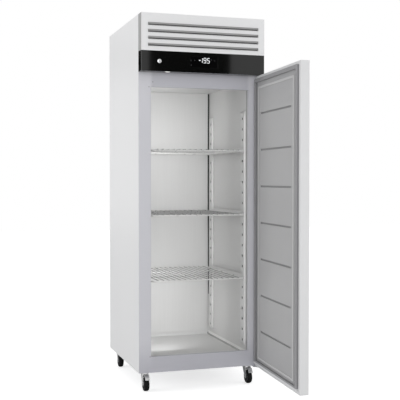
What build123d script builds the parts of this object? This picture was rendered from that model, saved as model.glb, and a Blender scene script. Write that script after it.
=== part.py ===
"""Upright one-door storage freezer on casters, with its door standing open.

Row frame: +X to the right seen from the front, -Y out of the front, +Z up.
The origin is on the floor under the middle of the cabinet. All sizes are in millimetres.
"""

import os
from math import atan2, cos, degrees, radians, sin

from build123d import *

os.makedirs("parts", exist_ok=True)

# Cabinet envelope
cabinet_width = 690.0
cabinet_depth = 740.0
cabinet_height = 2010.0
front_projection = 60.0
compartment_height = 270.0

# Sheets and walls
panel_sheet = 1.0
base_sheet = 1.5
liner_sheet = 1.0
flange_width = 20.0
pan_flange = 15.0
side_wall = 68.0
running_gap = 0.3

# Front frame and the opening in it
frame_depth = 22.0
sill_height = 85.0
header_height = 109.0
opening_corner = 3.0

# Storage space
floor_wall = 58.0
roof_wall = 65.0
rear_wall = 46.0
floor_cove = 12.0

# Air duct on the back wall
duct_side_gap = 10.0
duct_top_depth = 14.0
duct_foot_depth = 6.0
duct_foot_gap = 26.0

# Return and supply air ports through the roof
port_inset = 45.0
port_right = 20.0
return_port_setback = 180.0
return_port_depth = 130.0
return_slots = 10
return_slot_width = 8.0
supply_port_inset = 95.0
supply_port_depth = 11.0

# Shelf uprights
pilaster_width = 56.0
pilaster_depth = 10.0
pilaster_sheet = 1.2
pilaster_foot_gap = 51.0
pilaster_head_gap = 156.0
pilaster_front_inset = 43.0
pilaster_rear_gap = 96.0
hole_count = 22
first_hole_rise = 26.0
last_hole_drop = 41.2
hole_width = 16.0
hole_height = 12.0

# Shelves and their runners
shelf_holes = {"top": 18, "middle": 12, "bottom": 6}
shelf_side_gap = 12.0
shelf_front_inset = 28.0
shelf_rear_gap = 20.0
rim_wire = 7.0
cross_wire = 6.0
deck_wire = 4.0
deck_wire_count = 16
cross_wire_spread = 240.0
shelf_corner = 14.0
runner_sheet = 1.5
runner_leg = 22.0
runner_web = 24.0
runner_end_inset = 4.8
runner_drop = 8.0
hook_width = 10.0
hook_height = 8.0
hook_drop = 14.0

# Fascia with its louvres
fascia_height = 196.0
fascia_sheet = 1.5
louvre_count = 4
louvre_pitch = 36.0
louvre_rise = 32.0
louvre_side = 37.0
louvre_height = 14.0
louvre_set = 13.0

# Control panel
panel_height = 107.0
panel_wall = 3.0
window_width = 155.0
window_height = 60.0
window_rise = 56.0
window_lip = 5.0
module_width = 140.0
module_height = 50.0
module_depth = 38.0

# Lock
lock_inset = 99.0
lock_rise = 53.0
lock_body_radius = 9.0
lock_bezel_radius = 11.0
lock_bezel = 2.0
lock_body_length = 25.0
plug_radius = 6.0
fit_clearance = 0.05
cam_reach = 71.0
cam_width = 14.0
cam_sheet = 3.0
cam_room = 2.0

# Small pieces under the control panel
switch_inset = 17.0
switch_length = 20.0
switch_width = 7.0
lamp_inset = 147.0
lamp_length = 22.0
lamp_width = 9.0
lamp_setback = 12.0

# Door
door_side_gap = 3.0
door_foot_gap = 3.0
door_head_gap = 4.0
door_rest_angle = 86.5
hinge_inset = 18.0
seal_room = 14.0
skin_sheet = 1.0
skin_round = 4.0
skin_lip = 22.0

# Door liner and gasket
liner_thickness = 1.5
liner_inset = 13.0
liner_corner = 6.0
field_inset_side = 68.0
field_inset_top = 59.0
field_inset_bottom = 49.0
bead_rise = 7.0
bead_width = 12.0
bead_slope = 25.0
field_drop = 3.0
rib_count = 7
rib_end_gap = 154.0
rib_side_gap = 44.0
rib_width = 10.0
rib_depth = 4.0
rib_corner = 3.3
gasket_inset = 17.0
gasket_width = 20.0
gasket_foot = 3.0
gasket_magnet = 4.5
gasket_neck = 11.0
dart_width = 4.0
dart_depth = 6.0
dart_room = 2.5

# Door handle, a scoop let into the outer face
handle_height = 1010.0
handle_edge_inset = 58.0
handle_width = 46.0
handle_length = 170.0
handle_depth = 27.0
handle_wall = 2.0
handle_rim = 6.0
handle_proud = 1.5
handle_corner = 12.0
handle_floor_slope = 10.0

# Keeper slot for the lock cam, in the top of the door
keeper_depth = 24.0
keeper_room = 2.0

# Hinges
bracket_sheet = 4.0
bracket_length = 27.0
bracket_round = 14.0
bracket_reach = 35.0
bracket_leg = 27.0
bracket_floor_gap = 1.0
pin_radius = 5.0
pin_grip = 22.0
pin_end_room = 2.0
bush_radius = 8.0
bush_flange = 11.0
bush_length = 27.0
top_bush_flange = 2.0

# Casters
wheel_radius = 37.5
caster_rise = 33.0
wheel_width = 27.0
tread_slope = 5.0
axle_radius = 4.0
trail = 25.0
front_caster_inset = 75.0
rear_caster_inset = 41.0
caster_side_inset = 50.0
plate_thickness = 4.0
plate_length = 70.0
plate_width = 60.0
bolt_spacing_x = 52.0
bolt_spacing_y = 42.0
bolt_head = 5.5
bolt_head_height = 4.5
race_radius = 24.0
race_height = 8.0
kingpin_radius = 6.0
kingpin_head = 9.0
kingpin_head_height = 3.0
fork_sheet = 3.0
fork_gap = 0.8
crown_length = 44.0
fork_length = 45.0
axle_boss = 10.0
axle_head = 3.0
axle_head_radius = 7.0
brake_pivot_radius = 3.0
brake_pivot_drop = 8.7
brake_pivot_reach = 17.0
brake_sleeve = 5.0
shoe_tip = 1.0
pedal_width = 24.0
pedal_length = 34.0
pedal_sheet = 2.5
pedal_slope = 2.0
tongue_length = 30.0
tongue_slope = 53.0

# Machine compartment
compressor_inset = 140.0
compressor_setback = 145.0
compressor_radius = 80.0
compressor_body = 175.0
compressor_plate = 3.0
can_dome = 30.0
can_foot_taper = 16.0
can_top_taper = 32.0
terminal_box = 60.0
terminal_box_depth = 18.0
mount_height = 15.0
mount_radius = 13.0
mount_spacing_x = 190.0
mount_spacing_y = 110.0
condenser_inset = 35.0
condenser_right = 30.0
condenser_front_gap = 8.0
condenser_thickness = 55.0
condenser_height = 236.0
fin_side_plate = 3.0
fan_radius = 98.0
fan_ring_depth = 26.0
fan_ring_wall = 3.0
fan_tip_gap = 4.0
fan_hub_radius = 22.0
fan_hub_length = 24.0
fan_blades = 5
motor_radius = 27.0
motor_length = 34.0
strut_width = 10.0
strut_count = 3
strut_depth = 3.0
shroud_sheet = 1.5
motor_shaft = 3.0
blade_pitch = 28.0
blade_root = 20.0
blade_width = 44.0
blade_sheet = 2.0
fin_recess = 6.0
housing_inset = 10.0
housing_right = 60.0
housing_setback = 145.0
housing_rear_gap = 25.0
housing_height = 205.0
housing_wall = 16.0
evaporator_gap = 80.0
evaporator_thickness = 150.0
evaporator_fan_radius = 76.0
pan_gap = 40.0
pan_side_gap = 25.0
pan_setback = 430.0
pan_rear_gap = 40.0
pan_height = 42.0
pan_wall = 2.5
pipe_radius = 4.0
pipe_room = 2.0
pipe_step = 25.0
suction_level = 120.0
liquid_level = 35.0
suction_inset = 40.0
suction_gap = 25.0
liquid_gap = 12.0
drier_setback = 35.0
drier_radius = 11.0
drier_length = 95.0
gland_inset = 95.0
gland_rise = 60.0
gland_radius = 9.0
vent_width = 10.0
vent_height = 70.0
vent_columns = 14
vent_left_margin = 40.0
vent_right_margin = 130.0
vent_rows = 2
vent_row_pitch = 96.0
screw_head = 4.5
screw_taper = 40.0
screw_margin = 30.0
panel_screw_rows = 5
grille_screw_rows = 2

# Small sizes of the wires and the trim
weld_depth = 0.5
fascia_round = 2.5
louvre_drop = 10.0
louvre_round = 14.0
window_lip_sheet = 1.5
terminal_width = 112.0
terminal_height = 16.0
terminal_drop = 12.0
terminal_depth = 8.0
lock_nut_radius = 13.0
lock_nut = 4.0
pin_hole_room = 2.0
key_slot_width = 2.0
key_slot_length = 8.0
key_slot_depth = 6.0
switch_setback = 16.0
switch_rise = 6.0
clip_lip = 4.0
clip_sheet = 2.0
small_proud = 0.5
gland_body = 14.0
gland_nut = 13.0
gland_nut_depth = 5.0
gland_proud = 1.5
gland_bore = 5.0

# Places that follow from the driving dimensions
half_width = cabinet_width / 2
front_y = -cabinet_depth / 2
rear_y = cabinet_depth / 2
face_y = front_y - front_projection
inner_half = half_width - panel_sheet
cavity_half = half_width - side_wall
frame_back = front_y + frame_depth
underside = 2 * wheel_radius + caster_rise
deck_height = cabinet_height - compartment_height
deck_top = deck_height + base_sheet
flange_y = rear_y - panel_sheet - panel_sheet
cover_bottom = cabinet_height - base_sheet

# Storage space, its opening and its shelves
cavity_floor = underside + floor_wall
cavity_ceiling = deck_height - roof_wall
liner_back_y = rear_y - rear_wall
opening_bottom = underside + sill_height
opening_top = deck_height - header_height
port_left = port_inset - half_width
supply_port_left = supply_port_inset - half_width
return_port_front = front_y + return_port_setback
pilaster_face = cavity_half - pilaster_depth
pilaster_foot = cavity_floor + pilaster_foot_gap
pilaster_top = cavity_ceiling - pilaster_head_gap
first_hole = pilaster_foot + first_hole_rise
hole_pitch = (pilaster_top - last_hole_drop - first_hole) / (hole_count - 1)
shelf_front = front_y + shelf_front_inset
shelf_width = 2 * (cavity_half - shelf_side_gap)
shelf_depth = liner_back_y - shelf_rear_gap - shelf_front

# Fascia, control panel and what looks out of them
fascia_bottom = cabinet_height - fascia_height
lowest_louvre = fascia_bottom + louvre_rise
louvre_length = cabinet_width - 2 * louvre_side
panel_bottom = fascia_bottom - panel_height
window_centre_height = panel_bottom + window_rise
lock_x = lock_inset - half_width
lock_height = panel_bottom + lock_rise
switch_x = switch_inset - half_width
lamp_x = lamp_inset - half_width

# Door and hinges: the closed door's face is flush with the fascia
door_width = cabinet_width - 2 * door_side_gap
door_bottom = underside + door_foot_gap
door_top = panel_bottom - door_head_gap
door_height = door_top - door_bottom
door_half = door_width / 2
hinge_projection = front_projection / 2
skin_depth = front_projection - seal_room
hinge_x = half_width - hinge_inset
hinge_y = front_y - hinge_projection
top_bracket_height = panel_bottom + panel_wall + bracket_floor_gap
bush_flange_drop = door_bottom - underside

# Machine compartment
compressor_x = half_width - compressor_inset
compressor_y = front_y + compressor_setback
condenser_left = condenser_inset - half_width
housing_left = housing_inset - half_width
housing_front = front_y + housing_setback
housing_rear = rear_y - housing_rear_gap
evaporator_fan_front = return_port_front + return_port_depth
evaporator_front = evaporator_fan_front + evaporator_gap
pan_left = housing_right + pan_gap
pan_right = half_width - pan_side_gap
pan_front = front_y + pan_setback
pan_rear = rear_y - pan_rear_gap
suction_x = housing_right + suction_gap
liquid_x = housing_right + liquid_gap
drier_start = compressor_y + drier_setback
gland_x = half_width - gland_inset
gland_height = deck_height + gland_rise
vent_pitch = (cabinet_width - vent_left_margin - vent_right_margin) / (vent_columns - 1)
vent_middle_x = (vent_left_margin - vent_right_margin) / 2


def block(corner, opposite, mode=Mode.ADD):
    """Add or cut the box between two opposite corners."""
    centre = [(a + b) / 2 for a, b in zip(corner, opposite)]
    size = [abs(b - a) for a, b in zip(corner, opposite)]
    with Locations(tuple(centre)):
        Box(*size, mode=mode)


def disc(plane, radius, height, mode=Mode.ADD):
    """Add or cut a cylinder that stands on a plane."""
    with BuildSketch(plane, mode=Mode.PRIVATE) as outline:
        Circle(radius)
    extrude(outline.sketch, amount=height, mode=mode)


def hexagon(plane, radius, height, mode=Mode.ADD):
    """Add or cut a six-sided head, nut or light shank that stands on a plane."""
    with BuildSketch(plane, mode=Mode.PRIVATE) as outline:
        RegularPolygon(radius, 6)
    extrude(outline.sketch, amount=height, mode=mode)


def screw_column(low, high, rows):
    """Spread screws along both side flanges, a margin in from a sheet's lower and upper edge."""
    screw_x = half_width - flange_width / 2
    first = low + screw_margin
    pitch = (high - low - 2 * screw_margin) / (rows - 1)
    return [(hand * screw_x, first + pitch * row) for hand in (-1, 1) for row in range(rows)]


def countersunk(spots, mode=Mode.ADD):
    """Add flush screw heads, or cut their tapered seats through the rear sheets."""
    for x, z in spots:
        face = Plane((x, rear_y, z), x_dir=(1, 0, 0), z_dir=(0, -1, 0))
        with BuildSketch(face, mode=Mode.PRIVATE) as head:
            RegularPolygon(screw_head, 6)
        extrude(head.sketch, amount=panel_sheet, taper=screw_taper, mode=mode)


panel_screws = screw_column(underside, deck_top, panel_screw_rows)
grille_screws = screw_column(deck_top, cover_bottom, grille_screw_rows)

# Cabinet screws: countersunk heads flush in the rear panel and the rear grille, on their flanges
with BuildPart() as cabinet_screws:
    countersunk(panel_screws + grille_screws)
cabinet_screws.part.label = "cabinet_screws"
export_step(cabinet_screws.part, "parts/cabinet_screws.step")

# Side panels: pre-painted sheets with folded flanges at the rear, at the top and beside the fascia
for hand, label in ((-1, "side_panel_left"), (1, "side_panel_right")):
    outer = hand * half_width
    flange_edge = hand * (half_width - flange_width)
    with BuildPart() as side_panel:
        block(
            (outer, front_y, underside),
            (hand * inner_half, rear_y - panel_sheet, cover_bottom),
        )
        block((outer, flange_y, underside), (flange_edge, rear_y - panel_sheet, cover_bottom))
        block((outer, front_y, deck_top), (flange_edge, front_y + panel_sheet, cover_bottom))
        block(
            (outer, front_y, cover_bottom - panel_sheet),
            (flange_edge, rear_y - panel_sheet, cover_bottom),
        )
    side_panel.part.label = label
    export_step(side_panel.part, f"parts/{label}.step")

# Rear panel: a flat sheet over the side panels' rear flanges, up to the machine compartment
with BuildPart() as rear_panel:
    block((-half_width, rear_y - panel_sheet, underside), (half_width, rear_y, deck_top))
    countersunk(panel_screws, mode=Mode.SUBTRACT)
rear_panel.part.label = "rear_panel"
export_step(rear_panel.part, "parts/rear_panel.step")

# Base panel: a pan with upturned flanges, which carries the foam and the casters
with BuildPart() as base_panel:
    block((-inner_half, frame_back, underside), (inner_half, flange_y, underside + pan_flange))
    block(
        (-inner_half + base_sheet, frame_back + base_sheet, underside + base_sheet),
        (inner_half - base_sheet, flange_y - base_sheet, underside + pan_flange),
        mode=Mode.SUBTRACT,
    )
base_panel.part.label = "base_panel"
export_step(base_panel.part, "parts/base_panel.step")

# Roof deck: the floor of the machine compartment, with the two air ports
with BuildPart() as roof_deck:
    block((-inner_half, front_y, deck_height), (inner_half, flange_y, deck_top))
    block(
        (port_left, return_port_front, deck_height),
        (port_right, return_port_front + return_port_depth, deck_top),
        mode=Mode.SUBTRACT,
    )
    block(
        (supply_port_left, liner_back_y - duct_top_depth + liner_sheet, deck_height),
        (port_right, liner_back_y - duct_top_depth + liner_sheet + supply_port_depth, deck_top),
        mode=Mode.SUBTRACT,
    )
roof_deck.part.label = "roof_deck"
export_step(roof_deck.part, "parts/roof_deck.step")

# Front frame: the ring that the door's gasket seals on, with a sill and a header
with BuildPart() as front_frame:
    block((-inner_half, front_y, underside), (inner_half, frame_back, deck_height))
    with BuildSketch(Plane.XZ.offset(-front_y)):
        with Locations((0, (opening_bottom + opening_top) / 2)):
            RectangleRounded(2 * cavity_half, opening_top - opening_bottom, opening_corner)
    extrude(amount=-frame_depth, mode=Mode.SUBTRACT)
front_frame.part.label = "front_frame"
export_step(front_frame.part, "parts/front_frame.step")

# Liner walls: thin sheets on the foam, between the front frame and the back wall
for hand, label in ((-1, "liner_left"), (1, "liner_right")):
    with BuildPart() as liner_wall:
        block(
            (hand * cavity_half, frame_back, cavity_floor + floor_cove),
            (hand * (cavity_half + liner_sheet), liner_back_y, cavity_ceiling),
        )
    liner_wall.part.label = label
    export_step(liner_wall.part, f"parts/{label}.step")

with BuildPart() as liner_back:
    block(
        (-cavity_half - liner_sheet, liner_back_y, cavity_floor + floor_cove),
        (cavity_half + liner_sheet, liner_back_y + liner_sheet, cavity_ceiling),
    )
liner_back.part.label = "liner_back"
export_step(liner_back.part, "parts/liner_back.step")

# Liner floor: a tray whose sides and back turn up in a rounded cove
with BuildPart() as liner_floor:
    with BuildSketch(Plane.XY.offset(cavity_floor - liner_sheet)):
        with Locations((0, (frame_back + liner_back_y + liner_sheet) / 2)):
            Rectangle(2 * (cavity_half + liner_sheet), liner_back_y + liner_sheet - frame_back)
    extrude(amount=floor_cove + liner_sheet)
    cove_edges = liner_floor.edges().group_by(Axis.Z)[0].sort_by(Axis.Y)[1:]
    fillet(cove_edges, radius=floor_cove - liner_sheet)
    openings = [liner_floor.faces().sort_by(Axis.Z)[-1], liner_floor.faces().sort_by(Axis.Y)[0]]
    offset(amount=-liner_sheet, openings=openings)
liner_floor.part.label = "liner_floor"
export_step(liner_floor.part, "parts/liner_floor.step")

# Liner ceiling: a sheet with return slots near the front and a supply port over the duct
supply_front = liner_back_y - duct_top_depth + liner_sheet
supply_back = supply_front + supply_port_depth
return_middle = return_port_front + return_port_depth / 2
port_width = port_right - port_left
port_middle = (port_left + port_right) / 2
with BuildPart() as liner_ceiling:
    block(
        (-cavity_half - liner_sheet, frame_back, cavity_ceiling),
        (cavity_half + liner_sheet, liner_back_y + liner_sheet, cavity_ceiling + liner_sheet),
    )
    with BuildSketch(Plane.XY.offset(cavity_ceiling)):
        with Locations((port_middle, return_middle)):
            with GridLocations(port_width / return_slots, 0, return_slots, 1):
                Rectangle(return_slot_width, return_port_depth)
    extrude(amount=liner_sheet, mode=Mode.SUBTRACT)
    block(
        (supply_port_left, supply_front, cavity_ceiling),
        (port_right, supply_back, cavity_ceiling + liner_sheet),
        mode=Mode.SUBTRACT,
    )
liner_ceiling.part.label = "liner_ceiling"
export_step(liner_ceiling.part, "parts/liner_ceiling.step")

# Rear air duct: a folded channel that stands proud of the back wall and thins towards its foot
duct_foot = cavity_floor + duct_foot_gap
duct_half = cavity_half - duct_side_gap
with BuildPart() as rear_air_duct:
    with BuildSketch(Plane.YZ.offset(-duct_half)):
        with BuildLine():
            Polyline(
                (liner_back_y, duct_foot),
                (liner_back_y - duct_foot_depth, duct_foot),
                (liner_back_y - duct_top_depth, cavity_ceiling),
                (liner_back_y, cavity_ceiling),
                close=True,
            )
        make_face()
    extrude(amount=2 * duct_half)
    offset(
        amount=-liner_sheet,
        openings=[
            rear_air_duct.faces().sort_by(Axis.Y)[-1],
            rear_air_duct.faces().sort_by(Axis.Z)[-1],
            rear_air_duct.faces().sort_by(Axis.Z)[0],
        ],
    )
rear_air_duct.part.label = "rear_air_duct"
export_step(rear_air_duct.part, "parts/rear_air_duct.step")

# Caster positions: x, y, which side and whether it has a brake
front_caster_y = front_y + front_caster_inset
rear_caster_y = rear_y - rear_caster_inset
caster_x = half_width - caster_side_inset
casters = {
    "front_left": (-caster_x, front_caster_y),
    "front_right": (caster_x, front_caster_y),
    "rear_left": (-caster_x, rear_caster_y),
    "rear_right": (caster_x, rear_caster_y),
}
plate_bottom = underside - plate_thickness

# Caster bolts: the four hexagon heads under each top plate
with BuildPart() as caster_bolts:
    for x, y in casters.values():
        with Locations((x, y)):
            with GridLocations(bolt_spacing_x, bolt_spacing_y, 2, 2) as grid:
                spots = [spot.position for spot in grid.locations]
        for spot in spots:
            foot = Plane((spot.X, spot.Y, plate_bottom - bolt_head_height))
            hexagon(foot, bolt_head, bolt_head_height)
caster_bolts.part.label = "caster_bolts"
export_step(caster_bolts.part, "parts/caster_bolts.step")

# Foam body: the insulation that fills the walls, floor and roof in one piece
with BuildPart() as foam_body:
    block(
        (-inner_half, frame_back, underside + base_sheet),
        (inner_half, rear_y - panel_sheet, deck_height),
    )
    block(
        (-cavity_half - liner_sheet, frame_back, cavity_floor - liner_sheet),
        (cavity_half + liner_sheet, liner_back_y + liner_sheet, cavity_ceiling + liner_sheet),
        mode=Mode.SUBTRACT,
    )
    # the base pan's flanges and the side panels' rear flanges stand in it
    for hand in (-1, 1):
        block(
            (hand * inner_half, frame_back, underside),
            (hand * (inner_half - base_sheet), flange_y, underside + pan_flange),
            mode=Mode.SUBTRACT,
        )
        block(
            (hand * inner_half, flange_y, underside),
            (hand * (half_width - flange_width), rear_y - panel_sheet, deck_height),
            mode=Mode.SUBTRACT,
        )
    for y in (frame_back, flange_y - base_sheet):
        block(
            (-inner_half, y, underside),
            (inner_half, y + base_sheet, underside + pan_flange),
            mode=Mode.SUBTRACT,
        )
    # air ports through the roof
    block(
        (port_left, return_port_front, cavity_ceiling),
        (port_right, return_port_front + return_port_depth, deck_height),
        mode=Mode.SUBTRACT,
    )
    block(
        (supply_port_left, supply_front, cavity_ceiling),
        (port_right, supply_back, deck_height),
        mode=Mode.SUBTRACT,
    )
foam_body.part.label = "foam_body"
export_step(foam_body.part, "parts/foam_body.step")

# Shelf uprights: four channels with hook holes, standing on the side walls
pilaster_rows = (front_y + pilaster_front_inset, liner_back_y - pilaster_rear_gap)
hole_row_middle = first_hole + hole_pitch * (hole_count - 1) / 2
with BuildPart() as shelf_pilasters:
    for hand in (-1, 1):
        wall = hand * cavity_half
        web = hand * pilaster_face
        inside = hand * (pilaster_face + pilaster_sheet)
        for y in pilaster_rows:
            block((wall, y, pilaster_foot), (web, y + pilaster_width, pilaster_top))
            block(
                (wall, y + pilaster_sheet, pilaster_foot),
                (inside, y + pilaster_width - pilaster_sheet, pilaster_top),
                mode=Mode.SUBTRACT,
            )
            with BuildSketch(Plane.YZ.offset(web)):
                with Locations((y + pilaster_width / 2, hole_row_middle)):
                    with GridLocations(0, hole_pitch, 1, hole_count):
                        Rectangle(hole_width, hole_height)
            extrude(amount=hand * pilaster_sheet, mode=Mode.SUBTRACT)
shelf_pilasters.part.label = "shelf_pilasters"
export_step(shelf_pilasters.part, "parts/shelf_pilasters.step")

# Shelf heights: the runners hook into the uprights just below a hole's middle
shelf_heights = {
    name: first_hole + hole_pitch * hole - runner_drop for name, hole in shelf_holes.items()
}
runner_face = pilaster_face - running_gap
runner_start = pilaster_rows[0] + pilaster_sheet
runner_end = pilaster_rows[1] + pilaster_width - runner_end_inset

# Shelf runners: one angle on each side of each shelf, with two hooks
with BuildPart() as shelf_runners:
    for leg_top in shelf_heights.values():
        hook_middle = leg_top + runner_drop
        for hand in (-1, 1):
            outer = hand * runner_face
            inner = hand * (runner_face - runner_sheet)
            leg_edge = hand * (runner_face - runner_leg)
            block((outer, runner_start, leg_top - runner_sheet), (leg_edge, runner_end, leg_top))
            block(
                (outer, runner_start, leg_top - runner_sheet),
                (inner, runner_end, leg_top - runner_sheet + runner_web),
            )
            hook_root = hand * (pilaster_face + pilaster_sheet + running_gap)
            hook_tip = hand * (pilaster_face + 2 * pilaster_sheet + running_gap)
            for y in pilaster_rows:
                hook_y = y + (pilaster_width - hook_width) / 2
                block(
                    (outer, hook_y, hook_middle - hook_height / 2),
                    (hook_tip, hook_y + hook_width, hook_middle + hook_height / 2),
                )
                block(
                    (hook_root, hook_y, hook_middle + hook_height / 2 - hook_drop),
                    (hook_tip, hook_y + hook_width, hook_middle + hook_height / 2),
                )
shelf_runners.part.label = "shelf_runners"
export_step(shelf_runners.part, "parts/shelf_runners.step")

# Wire shelves: a rim with rounded corners, two cross wires and the deck wires welded on top
shelf_half = shelf_width / 2
shelf_middle_y = shelf_front + shelf_depth / 2
rim_half_width = shelf_half - rim_wire / 2
rim_half_depth = (shelf_depth - rim_wire) / 2
rim_back = shelf_middle_y + rim_half_depth
rim_front = shelf_middle_y - rim_half_depth
deck_wire_pitch = 2 * rim_half_width / (deck_wire_count + 1)
for name, leg_top in shelf_heights.items():
    rim_height = leg_top + running_gap + rim_wire / 2
    deck_wire_height = rim_height + (rim_wire + deck_wire) / 2 - weld_depth
    with BuildPart() as shelf:
        with BuildLine(Plane.XY.offset(rim_height)) as rim_path:
            FilletPolyline(
                (-rim_half_width, rim_front),
                (rim_half_width, rim_front),
                (rim_half_width, rim_back),
                (-rim_half_width, rim_back),
                radius=shelf_corner,
                close=True,
            )
        rim_start = Plane((0, rim_front, rim_height), x_dir=(0, 1, 0), z_dir=(1, 0, 0))
        with BuildSketch(rim_start):
            RegularPolygon(rim_wire / 2, 4)
        sweep(path=rim_path.line)
        with BuildSketch(Plane.YZ.offset(-rim_half_width)):
            with Locations((shelf_middle_y, rim_height - weld_depth)):
                with GridLocations(cross_wire_spread, 0, 2, 1):
                    RegularPolygon(cross_wire / 2, 4)
        extrude(amount=2 * rim_half_width)
        with BuildSketch(Plane.XZ.offset(-rim_front + rim_wire / 2)):
            with Locations((0, deck_wire_height)):
                with GridLocations(deck_wire_pitch, 0, deck_wire_count, 1):
                    RegularPolygon(deck_wire / 2, 4)
        extrude(amount=-shelf_depth)
    shelf.part.label = f"shelf_{name}"
    export_step(shelf.part, f"parts/shelf_{name}.step")

# Fascia: a folded white box over the machine compartment, with pressed louvres
with BuildPart() as fascia_grille:
    block((-half_width, face_y, fascia_bottom), (half_width, front_y, cabinet_height))
    fillet(fascia_grille.edges().filter_by(Axis.Z).group_by(Axis.Y)[0], radius=fascia_round)
    offset(
        amount=-fascia_sheet,
        openings=[
            fascia_grille.faces().sort_by(Axis.Y)[-1],
            fascia_grille.faces().sort_by(Axis.Z)[0],
        ],
    )
    for hand in (-1, 1):
        block(
            (hand * (half_width - fascia_sheet), front_y - fascia_sheet, fascia_bottom),
            (hand * (half_width - flange_width), front_y, cover_bottom),
        )
    louvre_heights = [lowest_louvre + louvre_pitch * i for i in range(louvre_count)]
    with BuildSketch(Plane.XZ.offset(-face_y)):
        with Locations(*[(0, height) for height in louvre_heights]):
            Rectangle(louvre_length, louvre_height)
    extrude(amount=-fascia_sheet, mode=Mode.SUBTRACT)
    for height in louvre_heights:
        top = height + louvre_height / 2
        lip = (face_y + louvre_set, top - louvre_drop)
        for start, length, solid in (
            (-louvre_length / 2 - fascia_sheet, louvre_length + 2 * fascia_sheet, False),
            (-louvre_length / 2 - fascia_sheet, fascia_sheet, True),
            (louvre_length / 2, fascia_sheet, True),
        ):
            with BuildSketch(Plane.YZ.offset(start)):
                with BuildLine():
                    hood = RadiusArc((face_y + fascia_sheet, top), lip, louvre_round)
                    if solid:
                        Polyline(hood @ 1, (face_y + fascia_sheet, lip[1]), hood @ 0)
                    else:
                        back = RadiusArc(
                            (face_y + fascia_sheet, top + fascia_sheet),
                            (lip[0] + fascia_sheet, lip[1]),
                            louvre_round + fascia_sheet,
                        )
                        Line(hood @ 1, back @ 1)
                        Line(hood @ 0, back @ 0)
                make_face()
            extrude(amount=length)
fascia_grille.part.label = "fascia_grille"
export_step(fascia_grille.part, "parts/fascia_grille.step")

# Lock cam and slot: the cam swings down behind the panel, through its floor and into the door
lock_end = face_y + lock_body_length
cam_front = lock_end + running_gap
cam_slot_left = lock_x - cam_width / 2 - cam_room
cam_slot_middle_y = cam_front + cam_sheet / 2
panel_drop = lock_height - panel_bottom - panel_wall
cam_slot_right = lock_x + (cam_reach**2 - panel_drop**2) ** 0.5 + cam_room

# Control panel: a black moulded front with its own floor, over the door
switch_y = face_y + switch_setback
lamp_y = face_y + lamp_setback
with BuildSketch() as lamp_outline:
    with Locations((lamp_x, lamp_y)):
        Rectangle(lamp_length, lamp_width)
    chamfer(lamp_outline.vertices(), length=lamp_width / 2 - small_proud)
with BuildPart() as control_panel:
    block((-half_width, face_y, panel_bottom), (half_width, front_y, fascia_bottom))
    fillet(control_panel.edges().filter_by(Axis.Z).group_by(Axis.Y)[0], radius=fascia_round)
    offset(
        amount=-panel_wall,
        openings=[
            control_panel.faces().sort_by(Axis.Y)[-1],
            control_panel.faces().sort_by(Axis.Z)[-1],
        ],
    )
    with BuildSketch(Plane.XZ.offset(-face_y)):
        with Locations((0, window_centre_height)):
            Rectangle(window_width, window_height)
        with Locations((lock_x, lock_height)):
            RegularPolygon(lock_body_radius, 6)
    extrude(amount=-panel_wall, mode=Mode.SUBTRACT)
    with BuildSketch(Plane.XY.offset(panel_bottom)):
        with Locations((hinge_x, hinge_y)):
            RegularPolygon(pin_radius + pin_hole_room, 6)
        with Locations((switch_x, switch_y)):
            Rectangle(switch_length, switch_width)
        add(lamp_outline.sketch)
        with Locations(((cam_slot_left + cam_slot_right) / 2, cam_slot_middle_y)):
            Rectangle(cam_slot_right - cam_slot_left, cam_sheet + 2 * cam_room)
    extrude(amount=panel_wall, mode=Mode.SUBTRACT)
control_panel.part.label = "control_panel"
export_step(control_panel.part, "parts/control_panel.step")

# Display window: a dark lens in the panel with a lip behind it
lip_front = face_y + panel_wall
lip_back = lip_front + window_lip_sheet
with BuildPart() as display_window:
    with BuildSketch(Plane.XZ.offset(-face_y)):
        with Locations((0, window_centre_height)):
            Rectangle(window_width - 2 * running_gap, window_height - 2 * running_gap)
    extrude(amount=-panel_wall)
    with BuildSketch(Plane.XZ.offset(-lip_front)):
        with Locations((0, window_centre_height)):
            Rectangle(window_width + 2 * window_lip, window_height + 2 * window_lip)
    extrude(amount=-window_lip_sheet)
display_window.part.label = "display_window"
export_step(display_window.part, "parts/display_window.step")

# Controller module: the electronics box behind the display, with its terminal block
with BuildPart() as controller_module:
    with BuildSketch(Plane.XZ.offset(-lip_back)):
        with Locations((0, window_centre_height)):
            Rectangle(module_width, module_height)
    extrude(amount=-module_depth)
    with BuildSketch(Plane.XZ.offset(-lip_back - module_depth)):
        with Locations((0, window_centre_height - terminal_drop)):
            Rectangle(terminal_width, terminal_height)
    extrude(amount=-terminal_depth)
controller_module.part.label = "controller_module"
export_step(controller_module.part, "parts/controller_module.step")

# Lock cylinder: the fixed six-sided barrel with its bezel in front and its nut behind the panel
lock_plane = Plane((lock_x, face_y, lock_height), x_dir=(1, 0, 0), z_dir=(0, -1, 0))
with BuildPart() as lock_cylinder:
    hexagon(lock_plane, lock_body_radius, -lock_body_length)
    disc(lock_plane, lock_bezel_radius, lock_bezel)
    hexagon(lock_plane.offset(-panel_wall), lock_nut_radius, -lock_nut)
    disc(
        lock_plane.offset(lock_bezel),
        plug_radius + fit_clearance,
        -lock_body_length - lock_bezel,
        mode=Mode.SUBTRACT,
    )
lock_cylinder.part.label = "lock_cylinder"
export_step(lock_cylinder.part, "parts/lock_cylinder.step")

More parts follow.
